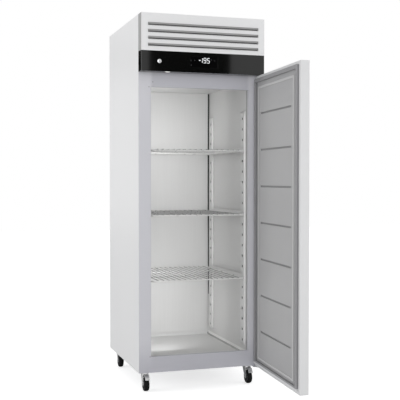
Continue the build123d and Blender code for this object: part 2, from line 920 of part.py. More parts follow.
# Lock plug: the turning key barrel with the cam fixed on its end, unlocked
with BuildPart() as lock_plug:
    disc(lock_plane.offset(lock_bezel - running_gap), plug_radius, -(cam_front - face_y) - lock_bezel)
    with BuildSketch(lock_plane.offset(face_y - cam_front)):
        with Locations(((cam_reach - cam_width / 2) / 2, 0)):
            SlotOverall(cam_reach + cam_width / 2, cam_width)
    extrude(amount=-cam_sheet)
    with BuildSketch(lock_plane.offset(lock_bezel - running_gap)):
        Rectangle(key_slot_width, key_slot_length)
    extrude(amount=-key_slot_depth, mode=Mode.SUBTRACT)
lock_plug.part.label = "lock_plug"
export_step(lock_plug.part, "parts/lock_plug.step")

# Door switch and lamp lens: both clip into the control panel's floor from above
with BuildPart() as door_switch:
    with BuildSketch(Plane.XY.offset(panel_bottom - small_proud)):
        with Locations((switch_x, switch_y)):
            Rectangle(switch_length, switch_width)
    extrude(amount=panel_wall + small_proud + switch_rise)
    with BuildSketch(Plane.XY.offset(panel_bottom + panel_wall)):
        with Locations((switch_x, switch_y)):
            Rectangle(switch_length + clip_lip, switch_width + 2 * clip_lip)
    extrude(amount=clip_sheet)
door_switch.part.label = "door_switch"
export_step(door_switch.part, "parts/door_switch.step")

with BuildPart() as lamp_lens:
    with BuildSketch(Plane.XY.offset(panel_bottom - small_proud)):
        add(lamp_outline.sketch)
    extrude(amount=panel_wall + small_proud)
    with BuildSketch(Plane.XY.offset(panel_bottom + panel_wall)):
        with Locations((lamp_x, lamp_y)):
            Rectangle(lamp_length + clip_lip, lamp_width + clip_lip)
    extrude(amount=clip_sheet)
lamp_lens.part.label = "lamp_lens"
export_step(lamp_lens.part, "parts/lamp_lens.step")

# Top cover: a plate on the side panels' top flanges
with BuildPart() as top_cover:
    block((-half_width, front_y, cover_bottom), (half_width, rear_y, cabinet_height))
top_cover.part.label = "top_cover"
export_step(top_cover.part, "parts/top_cover.step")

# Rear grille: a slotted sheet that lets the warm air out, with a hole for the cable gland
with BuildPart() as rear_grille:
    block((-half_width, rear_y - panel_sheet, deck_top), (half_width, rear_y, cover_bottom))
    with BuildSketch(Plane.XZ.offset(-rear_y)):
        with Locations((vent_middle_x, (deck_top + cover_bottom) / 2)):
            with GridLocations(vent_pitch, vent_row_pitch, vent_columns, vent_rows):
                Rectangle(vent_width, vent_height)
        with Locations((gland_x, gland_height)):
            RegularPolygon(gland_radius, 6)
    extrude(amount=panel_sheet, mode=Mode.SUBTRACT)
    countersunk(grille_screws, mode=Mode.SUBTRACT)
rear_grille.part.label = "rear_grille"
export_step(rear_grille.part, "parts/rear_grille.step")

# Cable gland: the inlet for the supply cord, clamped in the rear grille
gland_plane = Plane((gland_x, rear_y, gland_height), x_dir=(-1, 0, 0), z_dir=(0, 1, 0))
with BuildPart() as cable_gland:
    hexagon(gland_plane, gland_radius, -panel_sheet - gland_body)
    hexagon(gland_plane, gland_nut, gland_proud)
    hexagon(gland_plane.offset(-panel_sheet), gland_nut, -gland_nut_depth)
    disc(
        gland_plane.offset(gland_proud),
        gland_bore,
        -gland_proud - panel_sheet - gland_body,
        mode=Mode.SUBTRACT,
    )
cable_gland.part.label = "cable_gland"
export_step(cable_gland.part, "parts/cable_gland.step")

# Hinge brackets: plates with fixed pins, one under the front frame and one on its header
with BuildPart() as hinge_brackets:
    with BuildSketch(Plane.XY.offset(underside - bracket_sheet)):
        with Locations((hinge_x, hinge_y)):
            Circle(bracket_round)
        with Locations((hinge_x + bracket_round, hinge_y)):
            Rectangle(
                bracket_length + bracket_round,
                front_y + bracket_reach - hinge_y,
                align=(Align.MAX, Align.MIN),
            )
    extrude(amount=bracket_sheet)
    disc(Plane((hinge_x, hinge_y, underside)), pin_radius, bush_flange_drop + pin_grip)
    with BuildSketch(Plane.XY.offset(top_bracket_height)):
        with Locations((hinge_x, hinge_y)):
            Circle(bracket_round)
        with Locations((hinge_x + bracket_round, hinge_y)):
            Rectangle(
                bracket_length + bracket_round,
                front_y - hinge_y,
                align=(Align.MAX, Align.MIN),
            )
    extrude(amount=bracket_sheet)
    block(
        (hinge_x - bracket_length, front_y - bracket_sheet, top_bracket_height),
        (hinge_x + bracket_round, front_y, top_bracket_height + bracket_leg),
    )
    disc(
        Plane((hinge_x, hinge_y, top_bracket_height)),
        pin_radius,
        door_top - pin_grip - top_bracket_height,
    )
hinge_brackets.part.label = "hinge_brackets"
export_step(hinge_brackets.part, "parts/hinge_brackets.step")

# Door frame of reference: it stands open on its hinge axis, with +Y through its thickness
door_angle = radians(door_rest_angle)
door_plane = Plane(
    (hinge_x, hinge_y, door_bottom),
    x_dir=(cos(door_angle), sin(door_angle), 0),
    z_dir=(0, 0, 1),
)
depth_axis = Axis(door_plane.origin, door_plane.y_dir)
skin_front = -hinge_projection
skin_back = skin_front + skin_depth


def door_layer(depth):
    """Give the plane in the door at a depth from the hinge axis, seen from the cabinet."""
    centre = door_plane.from_local_coords((-hinge_x, depth, door_height / 2))
    return Plane(centre, x_dir=-door_plane.x_dir, z_dir=door_plane.y_dir)


def ring(depth, inset, width, height, mode=Mode.ADD):
    """Add or cut a rectangular ring round the door, at an inset from its edge."""
    with BuildSketch(door_layer(depth), mode=Mode.PRIVATE) as outline:
        Rectangle(door_width - 2 * inset, door_height - 2 * inset)
        Rectangle(
            door_width - 2 * (inset + width),
            door_height - 2 * (inset + width),
            mode=Mode.SUBTRACT,
        )
    extrude(outline.sketch, amount=height, mode=mode)


def scoop(depth, shrink, height, mode=Mode.ADD):
    """Add or cut the handle's rounded pocket, narrowed by its wall."""
    with BuildPart(mode=Mode.PRIVATE) as pocket:
        with BuildSketch(door_layer(depth)) as mouth:
            with Locations((handle_u, handle_v)):
                Rectangle(handle_width - 2 * shrink, handle_length - 2 * shrink)
            chamfer(mouth.vertices(), length=handle_corner - shrink)
        extrude(amount=height)
        chamfer(
            pocket.faces().sort_by(depth_axis)[-1].edges(),
            length=handle_floor_slope - shrink,
        )
    add(pocket.part, mode=mode)


def keeper_slot(depth):
    """Cut the slot for the lock cam down from the top of the door."""
    with BuildSketch(door_plane.offset(door_height), mode=Mode.PRIVATE) as outline:
        with Locations(((keeper_left + keeper_right) / 2, (keeper_front + keeper_back) / 2)):
            Rectangle(keeper_right - keeper_left, keeper_back - keeper_front)
    extrude(outline.sketch, amount=-depth, mode=Mode.SUBTRACT)


def relief(thickness):
    """Make the door liner's raised bead, field and grooves, narrowed by the sheet."""
    field_width = door_width - 2 * field_inset_side
    field_height = door_height - field_inset_top - field_inset_bottom
    field_v = (field_inset_bottom - field_inset_top) / 2
    rib_pitch = (field_height - 2 * rib_end_gap) / (rib_count - 1)
    rib_length = field_width - 2 * rib_side_gap
    bead_top = skin_back + liner_thickness + bead_rise - thickness
    field_top = bead_top - field_drop
    with BuildPart(mode=Mode.PRIVATE) as form:
        with BuildSketch(door_layer(skin_back)):
            with Locations((0, field_v)):
                Rectangle(field_width - 2 * thickness, field_height - 2 * thickness)
        extrude(amount=bead_top - skin_back, taper=bead_slope)
        with BuildSketch(door_layer(field_top)):
            with Locations((0, field_v)):
                Rectangle(
                    field_width - 2 * (bead_width + field_drop - thickness),
                    field_height - 2 * (bead_width + field_drop - thickness),
                )
        extrude(amount=field_drop, mode=Mode.SUBTRACT)
        with BuildSketch(door_layer(field_top - rib_depth)) as grooves:
            with GridLocations(0, rib_pitch, 1, rib_count):
                Rectangle(rib_length + 2 * thickness, rib_width + 2 * thickness)
            chamfer(grooves.vertices(), length=rib_corner)
        extrude(amount=rib_depth, mode=Mode.SUBTRACT)
    return form.part


handle_u = door_half - handle_edge_inset
handle_v = handle_height - door_bottom - door_height / 2
keeper_front = cam_front - hinge_y - keeper_room
keeper_back = cam_front + cam_sheet - hinge_y + keeper_room
keeper_left = lock_x - cam_width / 2 - keeper_room - hinge_x
cam_entry = (cam_reach**2 - (lock_height - door_top) ** 2) ** 0.5
keeper_right = lock_x + cam_entry + keeper_room - hinge_x

# Door skin: the painted outer tray with folded back lips
with BuildPart() as door_skin:
    with BuildSketch(door_layer(skin_front)):
        Rectangle(door_width, door_height)
    extrude(amount=skin_depth)
    fillet(door_skin.edges().filter_by(Axis.Z).group_by(depth_axis)[0], radius=skin_round)
    offset(amount=-skin_sheet, openings=door_skin.faces().sort_by(depth_axis)[-1])
    ring(skin_back - skin_sheet, skin_sheet / 2, skin_lip - skin_sheet / 2, skin_sheet)
    hexagon(door_plane, bush_radius, door_height, mode=Mode.SUBTRACT)
    keeper_slot(skin_sheet)
    with BuildSketch(door_layer(skin_front)):
        with Locations((handle_u, handle_v)):
            Rectangle(handle_width, handle_length)
    extrude(amount=skin_sheet, mode=Mode.SUBTRACT)
door_skin.part.label = "door_skin"
export_step(door_skin.part, "parts/door_skin.step")

# Gasket channel in the liner: it lies under the middle of the magnetic gasket
dart_inset = gasket_inset + (gasket_width - dart_width) / 2
channel_inset = dart_inset - running_gap
channel_width = dart_width + 2 * running_gap
liner_face = skin_back + liner_thickness
channel_floor = liner_face - dart_depth - dart_room
channel_back = channel_floor - liner_thickness

# Door liner: a thermoformed sheet with the gasket's channel, a raised bead and pressed grooves
with BuildPart() as door_liner:
    with BuildSketch(door_layer(skin_back)):
        RectangleRounded(
            door_width - 2 * liner_inset, door_height - 2 * liner_inset, liner_corner
        )
    extrude(amount=liner_thickness)
    add(relief(0))
    add(relief(liner_thickness), mode=Mode.SUBTRACT)
    ring(
        channel_back,
        channel_inset - liner_thickness,
        channel_width + 2 * liner_thickness,
        liner_face - channel_back,
    )
    ring(
        channel_floor,
        channel_inset,
        channel_width,
        liner_face - channel_floor,
        mode=Mode.SUBTRACT,
    )
door_liner.part.label = "door_liner"
export_step(door_liner.part, "parts/door_liner.step")

# Door gasket: a foot with a dart, a narrow neck and the magnet's strip
gasket_top = hinge_projection - running_gap
with BuildPart() as door_gasket:
    neck_inset = gasket_inset + (gasket_width - gasket_neck) / 2
    ring(liner_face - dart_depth, dart_inset, dart_width, dart_depth)
    ring(liner_face, gasket_inset, gasket_width, gasket_foot)
    ring(liner_face, neck_inset, gasket_neck, gasket_top - liner_face)
    ring(gasket_top - gasket_magnet, gasket_inset, gasket_width, gasket_magnet)
door_gasket.part.label = "door_gasket"
export_step(door_gasket.part, "parts/door_gasket.step")

# Door handle: a moulded scoop with a rim that covers the cut in the skin
with BuildPart() as door_handle:
    with BuildSketch(door_layer(skin_front - handle_proud)):
        with Locations((handle_u, handle_v)):
            RectangleRounded(
                handle_width + 2 * handle_rim,
                handle_length + 2 * handle_rim,
                handle_corner,
            )
    extrude(amount=handle_proud)
    scoop(skin_front, 0, handle_depth)
    scoop(
        skin_front - handle_proud,
        handle_wall,
        handle_proud + handle_depth - handle_wall,
        mode=Mode.SUBTRACT,
    )
door_handle.part.label = "door_handle"
export_step(door_handle.part, "parts/door_handle.step")

# Hinge bushes: six-sided sleeves that can't turn in the door's top and bottom, with flanges
with BuildPart() as hinge_bushes:
    foot = door_plane
    head = door_plane.offset(door_height)
    hexagon(foot, bush_radius, bush_length)
    hexagon(foot, bush_flange, -(door_bottom - underside - running_gap))
    disc(
        foot.offset(-(door_bottom - underside)),
        pin_radius + fit_clearance,
        bush_flange_drop + pin_grip + pin_end_room,
        mode=Mode.SUBTRACT,
    )
    hexagon(head, bush_radius, -bush_length)
    hexagon(head, bush_flange, top_bush_flange)
    disc(
        head.offset(top_bush_flange),
        pin_radius + fit_clearance,
        -(top_bush_flange + pin_grip + pin_end_room),
        mode=Mode.SUBTRACT,
    )
hinge_bushes.part.label = "hinge_bushes"
export_step(hinge_bushes.part, "parts/hinge_bushes.step")

# Door foam: the insulation between the skin and the liner
with BuildPart() as door_foam:
    with BuildSketch(door_layer(skin_front + skin_sheet)):
        Rectangle(door_width - 2 * skin_sheet, door_height - 2 * skin_sheet)
    extrude(amount=skin_depth - 2 * skin_sheet)
    fillet(
        door_foam.edges().filter_by(Axis.Z).group_by(depth_axis)[0],
        radius=skin_round - skin_sheet,
    )
    with BuildSketch(door_layer(skin_back - skin_sheet)):
        Rectangle(door_width - 2 * skin_lip, door_height - 2 * skin_lip)
    extrude(amount=skin_sheet)
    add(relief(liner_thickness))
    ring(
        channel_back,
        channel_inset - liner_thickness,
        channel_width + 2 * liner_thickness,
        skin_back - channel_back,
        mode=Mode.SUBTRACT,
    )
    for level, length in ((0, bush_length), (door_height, -bush_length)):
        hexagon(door_plane.offset(level), bush_radius, length, mode=Mode.SUBTRACT)
    keeper_slot(keeper_depth)
    with BuildSketch(door_layer(skin_front)):
        with Locations((handle_u, handle_v)):
            Rectangle(handle_width, handle_length)
    extrude(amount=handle_depth, mode=Mode.SUBTRACT)
door_foam.part.label = "door_foam"
export_step(door_foam.part, "parts/door_foam.step")

# Caster plates: each top plate with its kingpin, which hangs the fork on a wide head
crown_bottom = plate_bottom - running_gap - race_height - fork_sheet
pivot_z = crown_bottom - brake_pivot_drop
with BuildPart() as caster_plates:
    for x, y in casters.values():
        with BuildSketch(Plane((x, y, plate_bottom))):
            Rectangle(plate_length, plate_width)
        extrude(amount=plate_thickness)
        pin_top = Plane((x, y, plate_bottom))
        disc(pin_top, kingpin_radius, crown_bottom - running_gap - plate_bottom)
        hexagon(Plane((x, y, crown_bottom - running_gap)), kingpin_head, -kingpin_head_height)
caster_plates.part.label = "caster_plates"
export_step(caster_plates.part, "parts/caster_plates.step")

# Caster forks: crown, ball race and two tapered legs, with the axle riveted between them
leg_inner = wheel_width / 2 + fork_gap
leg_outer = leg_inner + fork_sheet
for name, (x, y) in casters.items():
    braked = name.startswith("front")
    axle_y = y - trail
    pivot_y = y - brake_pivot_reach
    with BuildPart() as caster_fork:
        with BuildSketch(Plane.YZ.offset(x - leg_outer)):
            with Locations((axle_y, wheel_radius)):
                RegularPolygon(axle_boss, 8, rotation=22.5)
            with Locations((y, crown_bottom + fork_sheet / 2)):
                Rectangle(crown_length, fork_sheet)
            make_hull()
        extrude(amount=2 * leg_outer)
        block(
            (x - leg_inner, y - fork_length, 0),
            (x + leg_inner, y + fork_length, crown_bottom),
            mode=Mode.SUBTRACT,
        )
        disc(Plane((x, y, crown_bottom + fork_sheet)), race_radius, race_height)
        disc(
            Plane((x, y, crown_bottom)),
            kingpin_radius + fit_clearance,
            fork_sheet + race_height,
            mode=Mode.SUBTRACT,
        )
        axle_start = Plane((x - leg_outer, axle_y, wheel_radius), x_dir=(0, 1, 0), z_dir=(1, 0, 0))
        if braked:
            pivot_start = Plane((x - leg_inner, pivot_y, pivot_z), x_dir=(0, 1, 0), z_dir=(1, 0, 0))
            hexagon(pivot_start, brake_pivot_radius, 2 * leg_inner)
        disc(axle_start, axle_radius, 2 * leg_outer)
        hexagon(axle_start, axle_head_radius, -axle_head)
        hexagon(axle_start.offset(2 * leg_outer), axle_head_radius, axle_head)
    caster_fork.part.label = f"caster_fork_{name}"
    export_step(caster_fork.part, f"parts/caster_fork_{name}.step")

# Caster wheels: a moulded wheel with a bevelled tread
for name, (x, y) in casters.items():
    wheel_plane = Plane((x, y - trail, wheel_radius), x_dir=(0, 1, 0), z_dir=(1, 0, 0))
    with BuildPart() as caster_wheel:
        disc(wheel_plane.offset(-wheel_width / 2), wheel_radius, wheel_width)
        chamfer(caster_wheel.edges(), length=tread_slope)
        disc(
            wheel_plane.offset(-wheel_width / 2),
            axle_radius + fit_clearance,
            wheel_width,
            mode=Mode.SUBTRACT,
        )
    caster_wheel.part.label = f"caster_wheel_{name}"
    export_step(caster_wheel.part, f"parts/caster_wheel_{name}.step")

# Brake levers: a bent pedal and a shoe on a sleeve, which turns on the fork's cross pin. They
# stand pressed down, with the pedal's tongue in front of the wheel and the shoe just off its tread.
pivot_rise = pivot_z - wheel_radius
pivot_lead = trail - brake_pivot_reach
shoe_reach = (pivot_rise**2 + pivot_lead**2) ** 0.5 - wheel_radius - running_gap
shoe_angle = degrees(atan2(pivot_lead, pivot_rise))
for name in ("front_left", "front_right"):
    x, y = casters[name]
    pivot = Plane(
        (x - leg_inner + running_gap, y - brake_pivot_reach, pivot_z),
        x_dir=(0, 1, 0),
        z_dir=(1, 0, 0),
    )
    sleeve_length = 2 * (leg_inner - running_gap)
    with BuildPart() as brake_lever:
        hexagon(pivot, brake_sleeve, sleeve_length)
        with BuildSketch(pivot.offset((sleeve_length - pedal_width) / 2)):
            with Locations(Location((0, 0), 180 - pedal_slope)):
                with Locations((pedal_length / 2, -brake_sleeve + pedal_sheet / 2)):
                    Rectangle(pedal_length, pedal_sheet)
                with Locations(Location((pedal_length, -brake_sleeve), tongue_slope)):
                    Rectangle(tongue_length, pedal_sheet, align=(Align.MIN, Align.MIN))
            with Locations(Location((0, 0), -90 - shoe_angle)):
                Polygon(
                    (0, -brake_sleeve),
                    (shoe_reach, -shoe_tip),
                    (shoe_reach, shoe_tip),
                    (0, brake_sleeve),
                    align=None,
                )
        extrude(amount=pedal_width)
        disc(pivot, brake_pivot_radius + fit_clearance, sleeve_length, mode=Mode.SUBTRACT)
    brake_lever.part.label = f"brake_lever_{name}"
    export_step(brake_lever.part, f"parts/brake_lever_{name}.step")

# Machine compartment levels
condenser_front = front_y + condenser_front_gap
condenser_back = condenser_front + condenser_thickness
condenser_middle = (condenser_left + condenser_right) / 2
fan_height = deck_top + condenser_height / 2

# Condenser coil: a block of fins between two end plates
with BuildPart() as condenser_coil:
    block(
        (condenser_left, condenser_front, deck_top),
        (condenser_right, condenser_back, deck_top + condenser_height),
    )
    for side in (condenser_left + fin_side_plate, condenser_right - 2 * fin_side_plate):
        for face in (condenser_front, condenser_back - fin_recess):
            block(
                (side, face, deck_top + fin_side_plate),
                (side + fin_side_plate, face + fin_recess, deck_top + condenser_height),
                mode=Mode.SUBTRACT,
            )
condenser_coil.part.label = "condenser_coil"
export_step(condenser_coil.part, "parts/condenser_coil.step")


def fan_guard(centre, blade_radius, width, height, foot):
    """Add the plate, ring, struts and motor that carry a fan, blowing along +Y."""
    x, y, z = centre
    face = Plane((x, y, z), x_dir=(-1, 0, 0), z_dir=(0, 1, 0))
    ring_inner = blade_radius + fan_tip_gap
    with BuildSketch(face, mode=Mode.PRIVATE) as plate:
        with Locations((0, foot - z)):
            Rectangle(width, height, align=(Align.CENTER, Align.MIN))
        Circle(ring_inner, mode=Mode.SUBTRACT)
    extrude(plate.sketch, amount=shroud_sheet)
    with BuildSketch(face.offset(shroud_sheet), mode=Mode.PRIVATE) as guard:
        Circle(ring_inner + fan_ring_wall)
        Circle(ring_inner, mode=Mode.SUBTRACT)
    extrude(guard.sketch, amount=fan_ring_depth)
    motor_face = face.offset(shroud_sheet + fan_ring_depth)
    with BuildSketch(motor_face, mode=Mode.PRIVATE) as struts:
        with PolarLocations((ring_inner + fan_ring_wall) / 2, strut_count, start_angle=90):
            Rectangle(ring_inner + fan_ring_wall, strut_width)
    extrude(struts.sketch, amount=strut_depth)
    hexagon(motor_face, motor_radius, motor_length)
    hexagon(motor_face, motor_shaft, -fan_hub_length)


def fan_wheel(centre, blade_radius):
    """Add the hub and pitched blades of a fan whose hub ends just short of its motor."""
    x, y, z = centre
    hub_back = y + shroud_sheet + fan_ring_depth - running_gap
    hub_front = hub_back - fan_hub_length
    face = Plane((x, hub_front, z), x_dir=(-1, 0, 0), z_dir=(0, 1, 0))
    with BuildSketch(face, mode=Mode.PRIVATE) as hub:
        RegularPolygon(fan_hub_radius, 2 * fan_blades)
    extrude(hub.sketch, amount=fan_hub_length)
    for turn in range(fan_blades):
        angle = radians(360 * turn / fan_blades)
        reach = Vector(-cos(angle), 0, sin(angle))
        across = Vector(0, 1, 0).cross(reach)
        pitch = radians(blade_pitch)
        blade = Plane(
            (x, hub_front + fan_hub_length / 2, z),
            x_dir=reach,
            z_dir=Vector(0, 1, 0) * cos(pitch) + across * sin(pitch),
        )
        root = fan_hub_radius / 2
        tip_corner = (blade_radius**2 - blade_width**2 / 4) ** 0.5
        with BuildSketch(blade, mode=Mode.PRIVATE) as outline:
            Polygon(
                (root, -blade_root / 2),
                (tip_corner, -blade_width / 2),
                (blade_radius, 0),
                (tip_corner, blade_width / 2),
                (root, blade_root / 2),
                align=None,
            )
        extrude(outline.sketch, amount=blade_sheet / 2, both=True)
    disc(face, motor_shaft + fit_clearance, fan_hub_length, mode=Mode.SUBTRACT)


condenser_fan_centre = (condenser_middle, condenser_back, fan_height)
with BuildPart() as condenser_fan_shroud:
    fan_guard(
        condenser_fan_centre,
        fan_radius,
        condenser_right - condenser_left,
        condenser_height,
        deck_top,
    )
condenser_fan_shroud.part.label = "condenser_fan_shroud"
export_step(condenser_fan_shroud.part, "parts/condenser_fan_shroud.step")

with BuildPart() as condenser_fan_blade:
    fan_wheel(condenser_fan_centre, fan_radius)
condenser_fan_blade.part.label = "condenser_fan_blade"
export_step(condenser_fan_blade.part, "parts/condenser_fan_blade.step")

# Evaporator housing: an insulated box over the two air ports, open below and hollow
housing_middle = (housing_left + housing_right) / 2
housing_inner = housing_right - housing_left - 2 * housing_wall
with BuildPart() as evaporator_housing:
    block(
        (housing_left, housing_front, deck_top),
        (housing_right, housing_rear, deck_top + housing_height),
    )
    block(
        (housing_left + housing_wall, housing_front + housing_wall, deck_top),
        (
            housing_right - housing_wall,
            housing_rear - housing_wall,
            deck_top + housing_height - housing_wall,
        ),
        mode=Mode.SUBTRACT,
    )
    with BuildSketch(Plane.YZ.offset(housing_right - housing_wall)):
        with Locations(
            (evaporator_front + suction_inset, deck_top + suction_level),
            (evaporator_front + suction_inset, deck_top + liquid_level),
        ):
            RegularPolygon(pipe_radius + pipe_room, 6)
    extrude(amount=housing_wall, mode=Mode.SUBTRACT)
evaporator_housing.part.label = "evaporator_housing"
export_step(evaporator_housing.part, "parts/evaporator_housing.step")

# Evaporator coil: a finned block across the housing, from the deck to the housing's roof
with BuildPart() as evaporator_coil:
    block(
        (housing_left + housing_wall + running_gap, evaporator_front, deck_top),
        (
            housing_right - housing_wall - running_gap,
            evaporator_front + evaporator_thickness,
            deck_top + housing_height - housing_wall,
        ),
    )
    for face in (evaporator_front, evaporator_front + evaporator_thickness - fin_recess):
        block(
            (housing_left + 2 * housing_wall, face, deck_top + fin_recess),
            (
                housing_right - 2 * housing_wall,
                face + fin_recess,
                deck_top + housing_height - housing_wall - fin_recess,
            ),
            mode=Mode.SUBTRACT,
        )
evaporator_coil.part.label = "evaporator_coil"
export_step(evaporator_coil.part, "parts/evaporator_coil.step")

# Evaporator fan: its bulkhead closes the housing in front of the coil
evaporator_fan_height = deck_top + (housing_height - housing_wall) / 2
evaporator_fan_centre = (housing_middle, evaporator_fan_front, evaporator_fan_height)
with BuildPart() as evaporator_fan_shroud:
    fan_guard(
        evaporator_fan_centre,
        evaporator_fan_radius,
        housing_inner,
        housing_height - housing_wall,
        deck_top,
    )
evaporator_fan_shroud.part.label = "evaporator_fan_shroud"
export_step(evaporator_fan_shroud.part, "parts/evaporator_fan_shroud.step")

with BuildPart() as evaporator_fan_blade:
    fan_wheel(evaporator_fan_centre, evaporator_fan_radius)
evaporator_fan_blade.part.label = "evaporator_fan_blade"
export_step(evaporator_fan_blade.part, "parts/evaporator_fan_blade.step")

# Compressor: a welded can on its foot plate, with a terminal box and two pipe stubs
plate_level = deck_top + mount_height
can_foot = plate_level + compressor_plate
with BuildPart() as compressor:
    with BuildSketch(Plane.XY.offset(plate_level)):
        with Locations((compressor_x, compressor_y)):
            Rectangle(
                mount_spacing_x + 2 * mount_radius,
                mount_spacing_y + 2 * mount_radius,
            )
    extrude(amount=compressor_plate)
    axis_plane = Plane((compressor_x, compressor_y, can_foot), x_dir=(1, 0, 0), z_dir=(0, -1, 0))
    with BuildSketch(axis_plane):
        Polygon(
            (0, 0),
            (compressor_radius - can_foot_taper, 0),
            (compressor_radius, can_dome),
            (compressor_radius, compressor_body - can_dome),
            (compressor_radius - can_top_taper, compressor_body),
            (0, compressor_body),
            align=None,
        )
    revolve(axis=Axis((compressor_x, compressor_y, 0), (0, 0, 1)))
    block(
        (compressor_x + compressor_radius / 2, compressor_y - terminal_box / 2, can_foot + can_dome),
        (
            compressor_x + compressor_radius + terminal_box_depth,
            compressor_y + terminal_box / 2,
            can_foot + can_dome + terminal_box,
        ),
    )
compressor.part.label = "compressor"
export_step(compressor.part, "parts/compressor.step")

# Compressor mounts: four rubber grommets between the foot plate and the deck
with BuildPart() as compressor_mounts:
    with Locations((compressor_x, compressor_y)):
        with GridLocations(mount_spacing_x, mount_spacing_y, 2, 2) as grid:
            mount_spots = [spot.position for spot in grid.locations]
    for spot in mount_spots:
        hexagon(Plane((spot.X, spot.Y, deck_top)), mount_radius, mount_height)
compressor_mounts.part.label = "compressor_mounts"
export_step(compressor_mounts.part, "parts/compressor_mounts.step")

# Condensate pan: an open tray on the deck, warmed by the discharge pipe in it
with BuildPart() as condensate_pan:
    block((pan_left, pan_front, deck_top), (pan_right, pan_rear, deck_top + pan_height))
    offset(amount=-pan_wall, openings=condensate_pan.faces().sort_by(Axis.Z)[-1])
condensate_pan.part.label = "condensate_pan"
export_step(condensate_pan.part, "parts/condensate_pan.step")

# Refrigerant pipes with brazed elbows: discharge through the pan, liquid with its filter drier, suction
discharge_level = can_foot + compressor_body - can_dome - pipe_step
pan_level = deck_top + pan_wall + pipe_radius + running_gap
condenser_inlet = (condenser_right, condenser_front + condenser_thickness / 2)
can_back = compressor_y + compressor_radius
evaporator_side = housing_right - housing_wall - running_gap
pipe_routes = {
    "discharge": (
        (compressor_x, can_back, discharge_level),
        (compressor_x, pan_front + pipe_step, discharge_level),
        (compressor_x, pan_front + pipe_step, pan_level),
        (compressor_x, pan_rear - pipe_step, pan_level),
        (pan_left + pipe_step, pan_rear - pipe_step, pan_level),
        (pan_left + pipe_step, pan_front + pipe_step, pan_level),
        (pan_left + pipe_step, pan_front + pipe_step, discharge_level + pipe_step),
        (suction_x, pan_front + pipe_step, discharge_level + pipe_step),
        (suction_x, condenser_inlet[1], discharge_level + pipe_step),
        (condenser_right, condenser_inlet[1], discharge_level + pipe_step),
    ),
    "liquid": (
        (condenser_right, condenser_inlet[1], deck_top + liquid_level),
        (liquid_x, condenser_inlet[1], deck_top + liquid_level),
        (liquid_x, evaporator_front + suction_inset, deck_top + liquid_level),
        (evaporator_side, evaporator_front + suction_inset, deck_top + liquid_level),
    ),
    "suction": (
        (evaporator_side, evaporator_front + suction_inset, deck_top + suction_level),
        (suction_x, evaporator_front + suction_inset, deck_top + suction_level),
        (suction_x, compressor_y, deck_top + suction_level),
        (compressor_x - compressor_radius, compressor_y, deck_top + suction_level),
    ),
}
with BuildPart() as refrigerant_pipes:
    for route in pipe_routes.values():
        with BuildLine() as centre_line:
            Polyline(*route)
        with BuildSketch(Plane(route[0], z_dir=Vector(*route[1]) - Vector(*route[0]))):
            RegularPolygon(pipe_radius, 6)
        sweep(path=centre_line.line, transition=Transition.RIGHT)
    drier = Plane((liquid_x, drier_start, deck_top + liquid_level), z_dir=(0, 1, 0))
    hexagon(drier, drier_radius, drier_length)
refrigerant_pipes.part.label = "refrigerant_pipes"
export_step(refrigerant_pipes.part, "parts/refrigerant_pipes.step")
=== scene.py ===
from math import cos, pi, radians, sin

import bmesh
import bpy
from mathutils import Matrix, Vector


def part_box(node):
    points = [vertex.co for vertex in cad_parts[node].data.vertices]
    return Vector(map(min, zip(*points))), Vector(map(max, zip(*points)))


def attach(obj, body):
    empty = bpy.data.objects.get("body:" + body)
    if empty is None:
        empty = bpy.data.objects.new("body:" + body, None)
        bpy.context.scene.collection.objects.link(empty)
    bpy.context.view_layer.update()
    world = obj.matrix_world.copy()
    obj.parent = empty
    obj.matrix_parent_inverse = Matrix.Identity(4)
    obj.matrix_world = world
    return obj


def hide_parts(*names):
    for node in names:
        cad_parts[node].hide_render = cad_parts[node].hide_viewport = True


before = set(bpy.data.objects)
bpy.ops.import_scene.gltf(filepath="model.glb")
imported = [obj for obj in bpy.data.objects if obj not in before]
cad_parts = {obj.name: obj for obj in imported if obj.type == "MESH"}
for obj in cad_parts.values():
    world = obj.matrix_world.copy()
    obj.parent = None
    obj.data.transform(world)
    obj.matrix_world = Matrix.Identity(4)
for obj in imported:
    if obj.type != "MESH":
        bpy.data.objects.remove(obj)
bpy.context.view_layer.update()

# Camera and studio: a level product shot from the front left, on a pale seamless floor, with three
# soft lamps outside and two small ones inside the storage space. Two dark flags, which show only
# as reflections, keep the glossy panel black.
camera_place = (-1.4081, -4.7241, 1.1387)
camera_turn = -0.312
camera_dip = -0.024
focal_length = 76.1
floor_half = 14.0
floor_grey = (0.86, 0.86, 0.86)
flag_black = (0.003, 0.003, 0.003)
world_level = 0.52
floor_glow_level = 0.64
square = ((-1, -1), (1, -1), (1, 1), (-1, 1))
lamps = {
    "key_lamp": ((-0.9, -5.4, 1.8), (0.0, 0.0, 1.0), (3.0, 3.0), 68),
    "left_lamp": ((-4.6, 0.3, 1.4), (-0.3, 0.1, 0.8), (2.6, 2.6), 68),
    "right_lamp": ((4.2, -2.4, 2.4), (0.3, -0.5, 1.0), (2.4, 2.4), 30),
    "upper_cavity_lamp": ((-0.13, -0.12, 1.37), (-0.17, 0.4, 1.37), (0.2, 0.5), 0.95),
    "lower_cavity_lamp": ((-0.13, -0.12, 0.47), (-0.17, 0.4, 0.47), (0.2, 0.5), 0.85),
}
flags = {
    "front_flag": ((0.72, -3.0, 2.13), (0.36, 0.3)),
    "side_flag": ((-1.35, 3.65, 2.35), (0.3, 0.13)),
}


def show(name, data):
    """Put a mesh, a lamp or the camera in the scene as an object at the origin."""
    made = bpy.data.objects.new(name, data)
    bpy.context.scene.collection.objects.link(made)
    return made


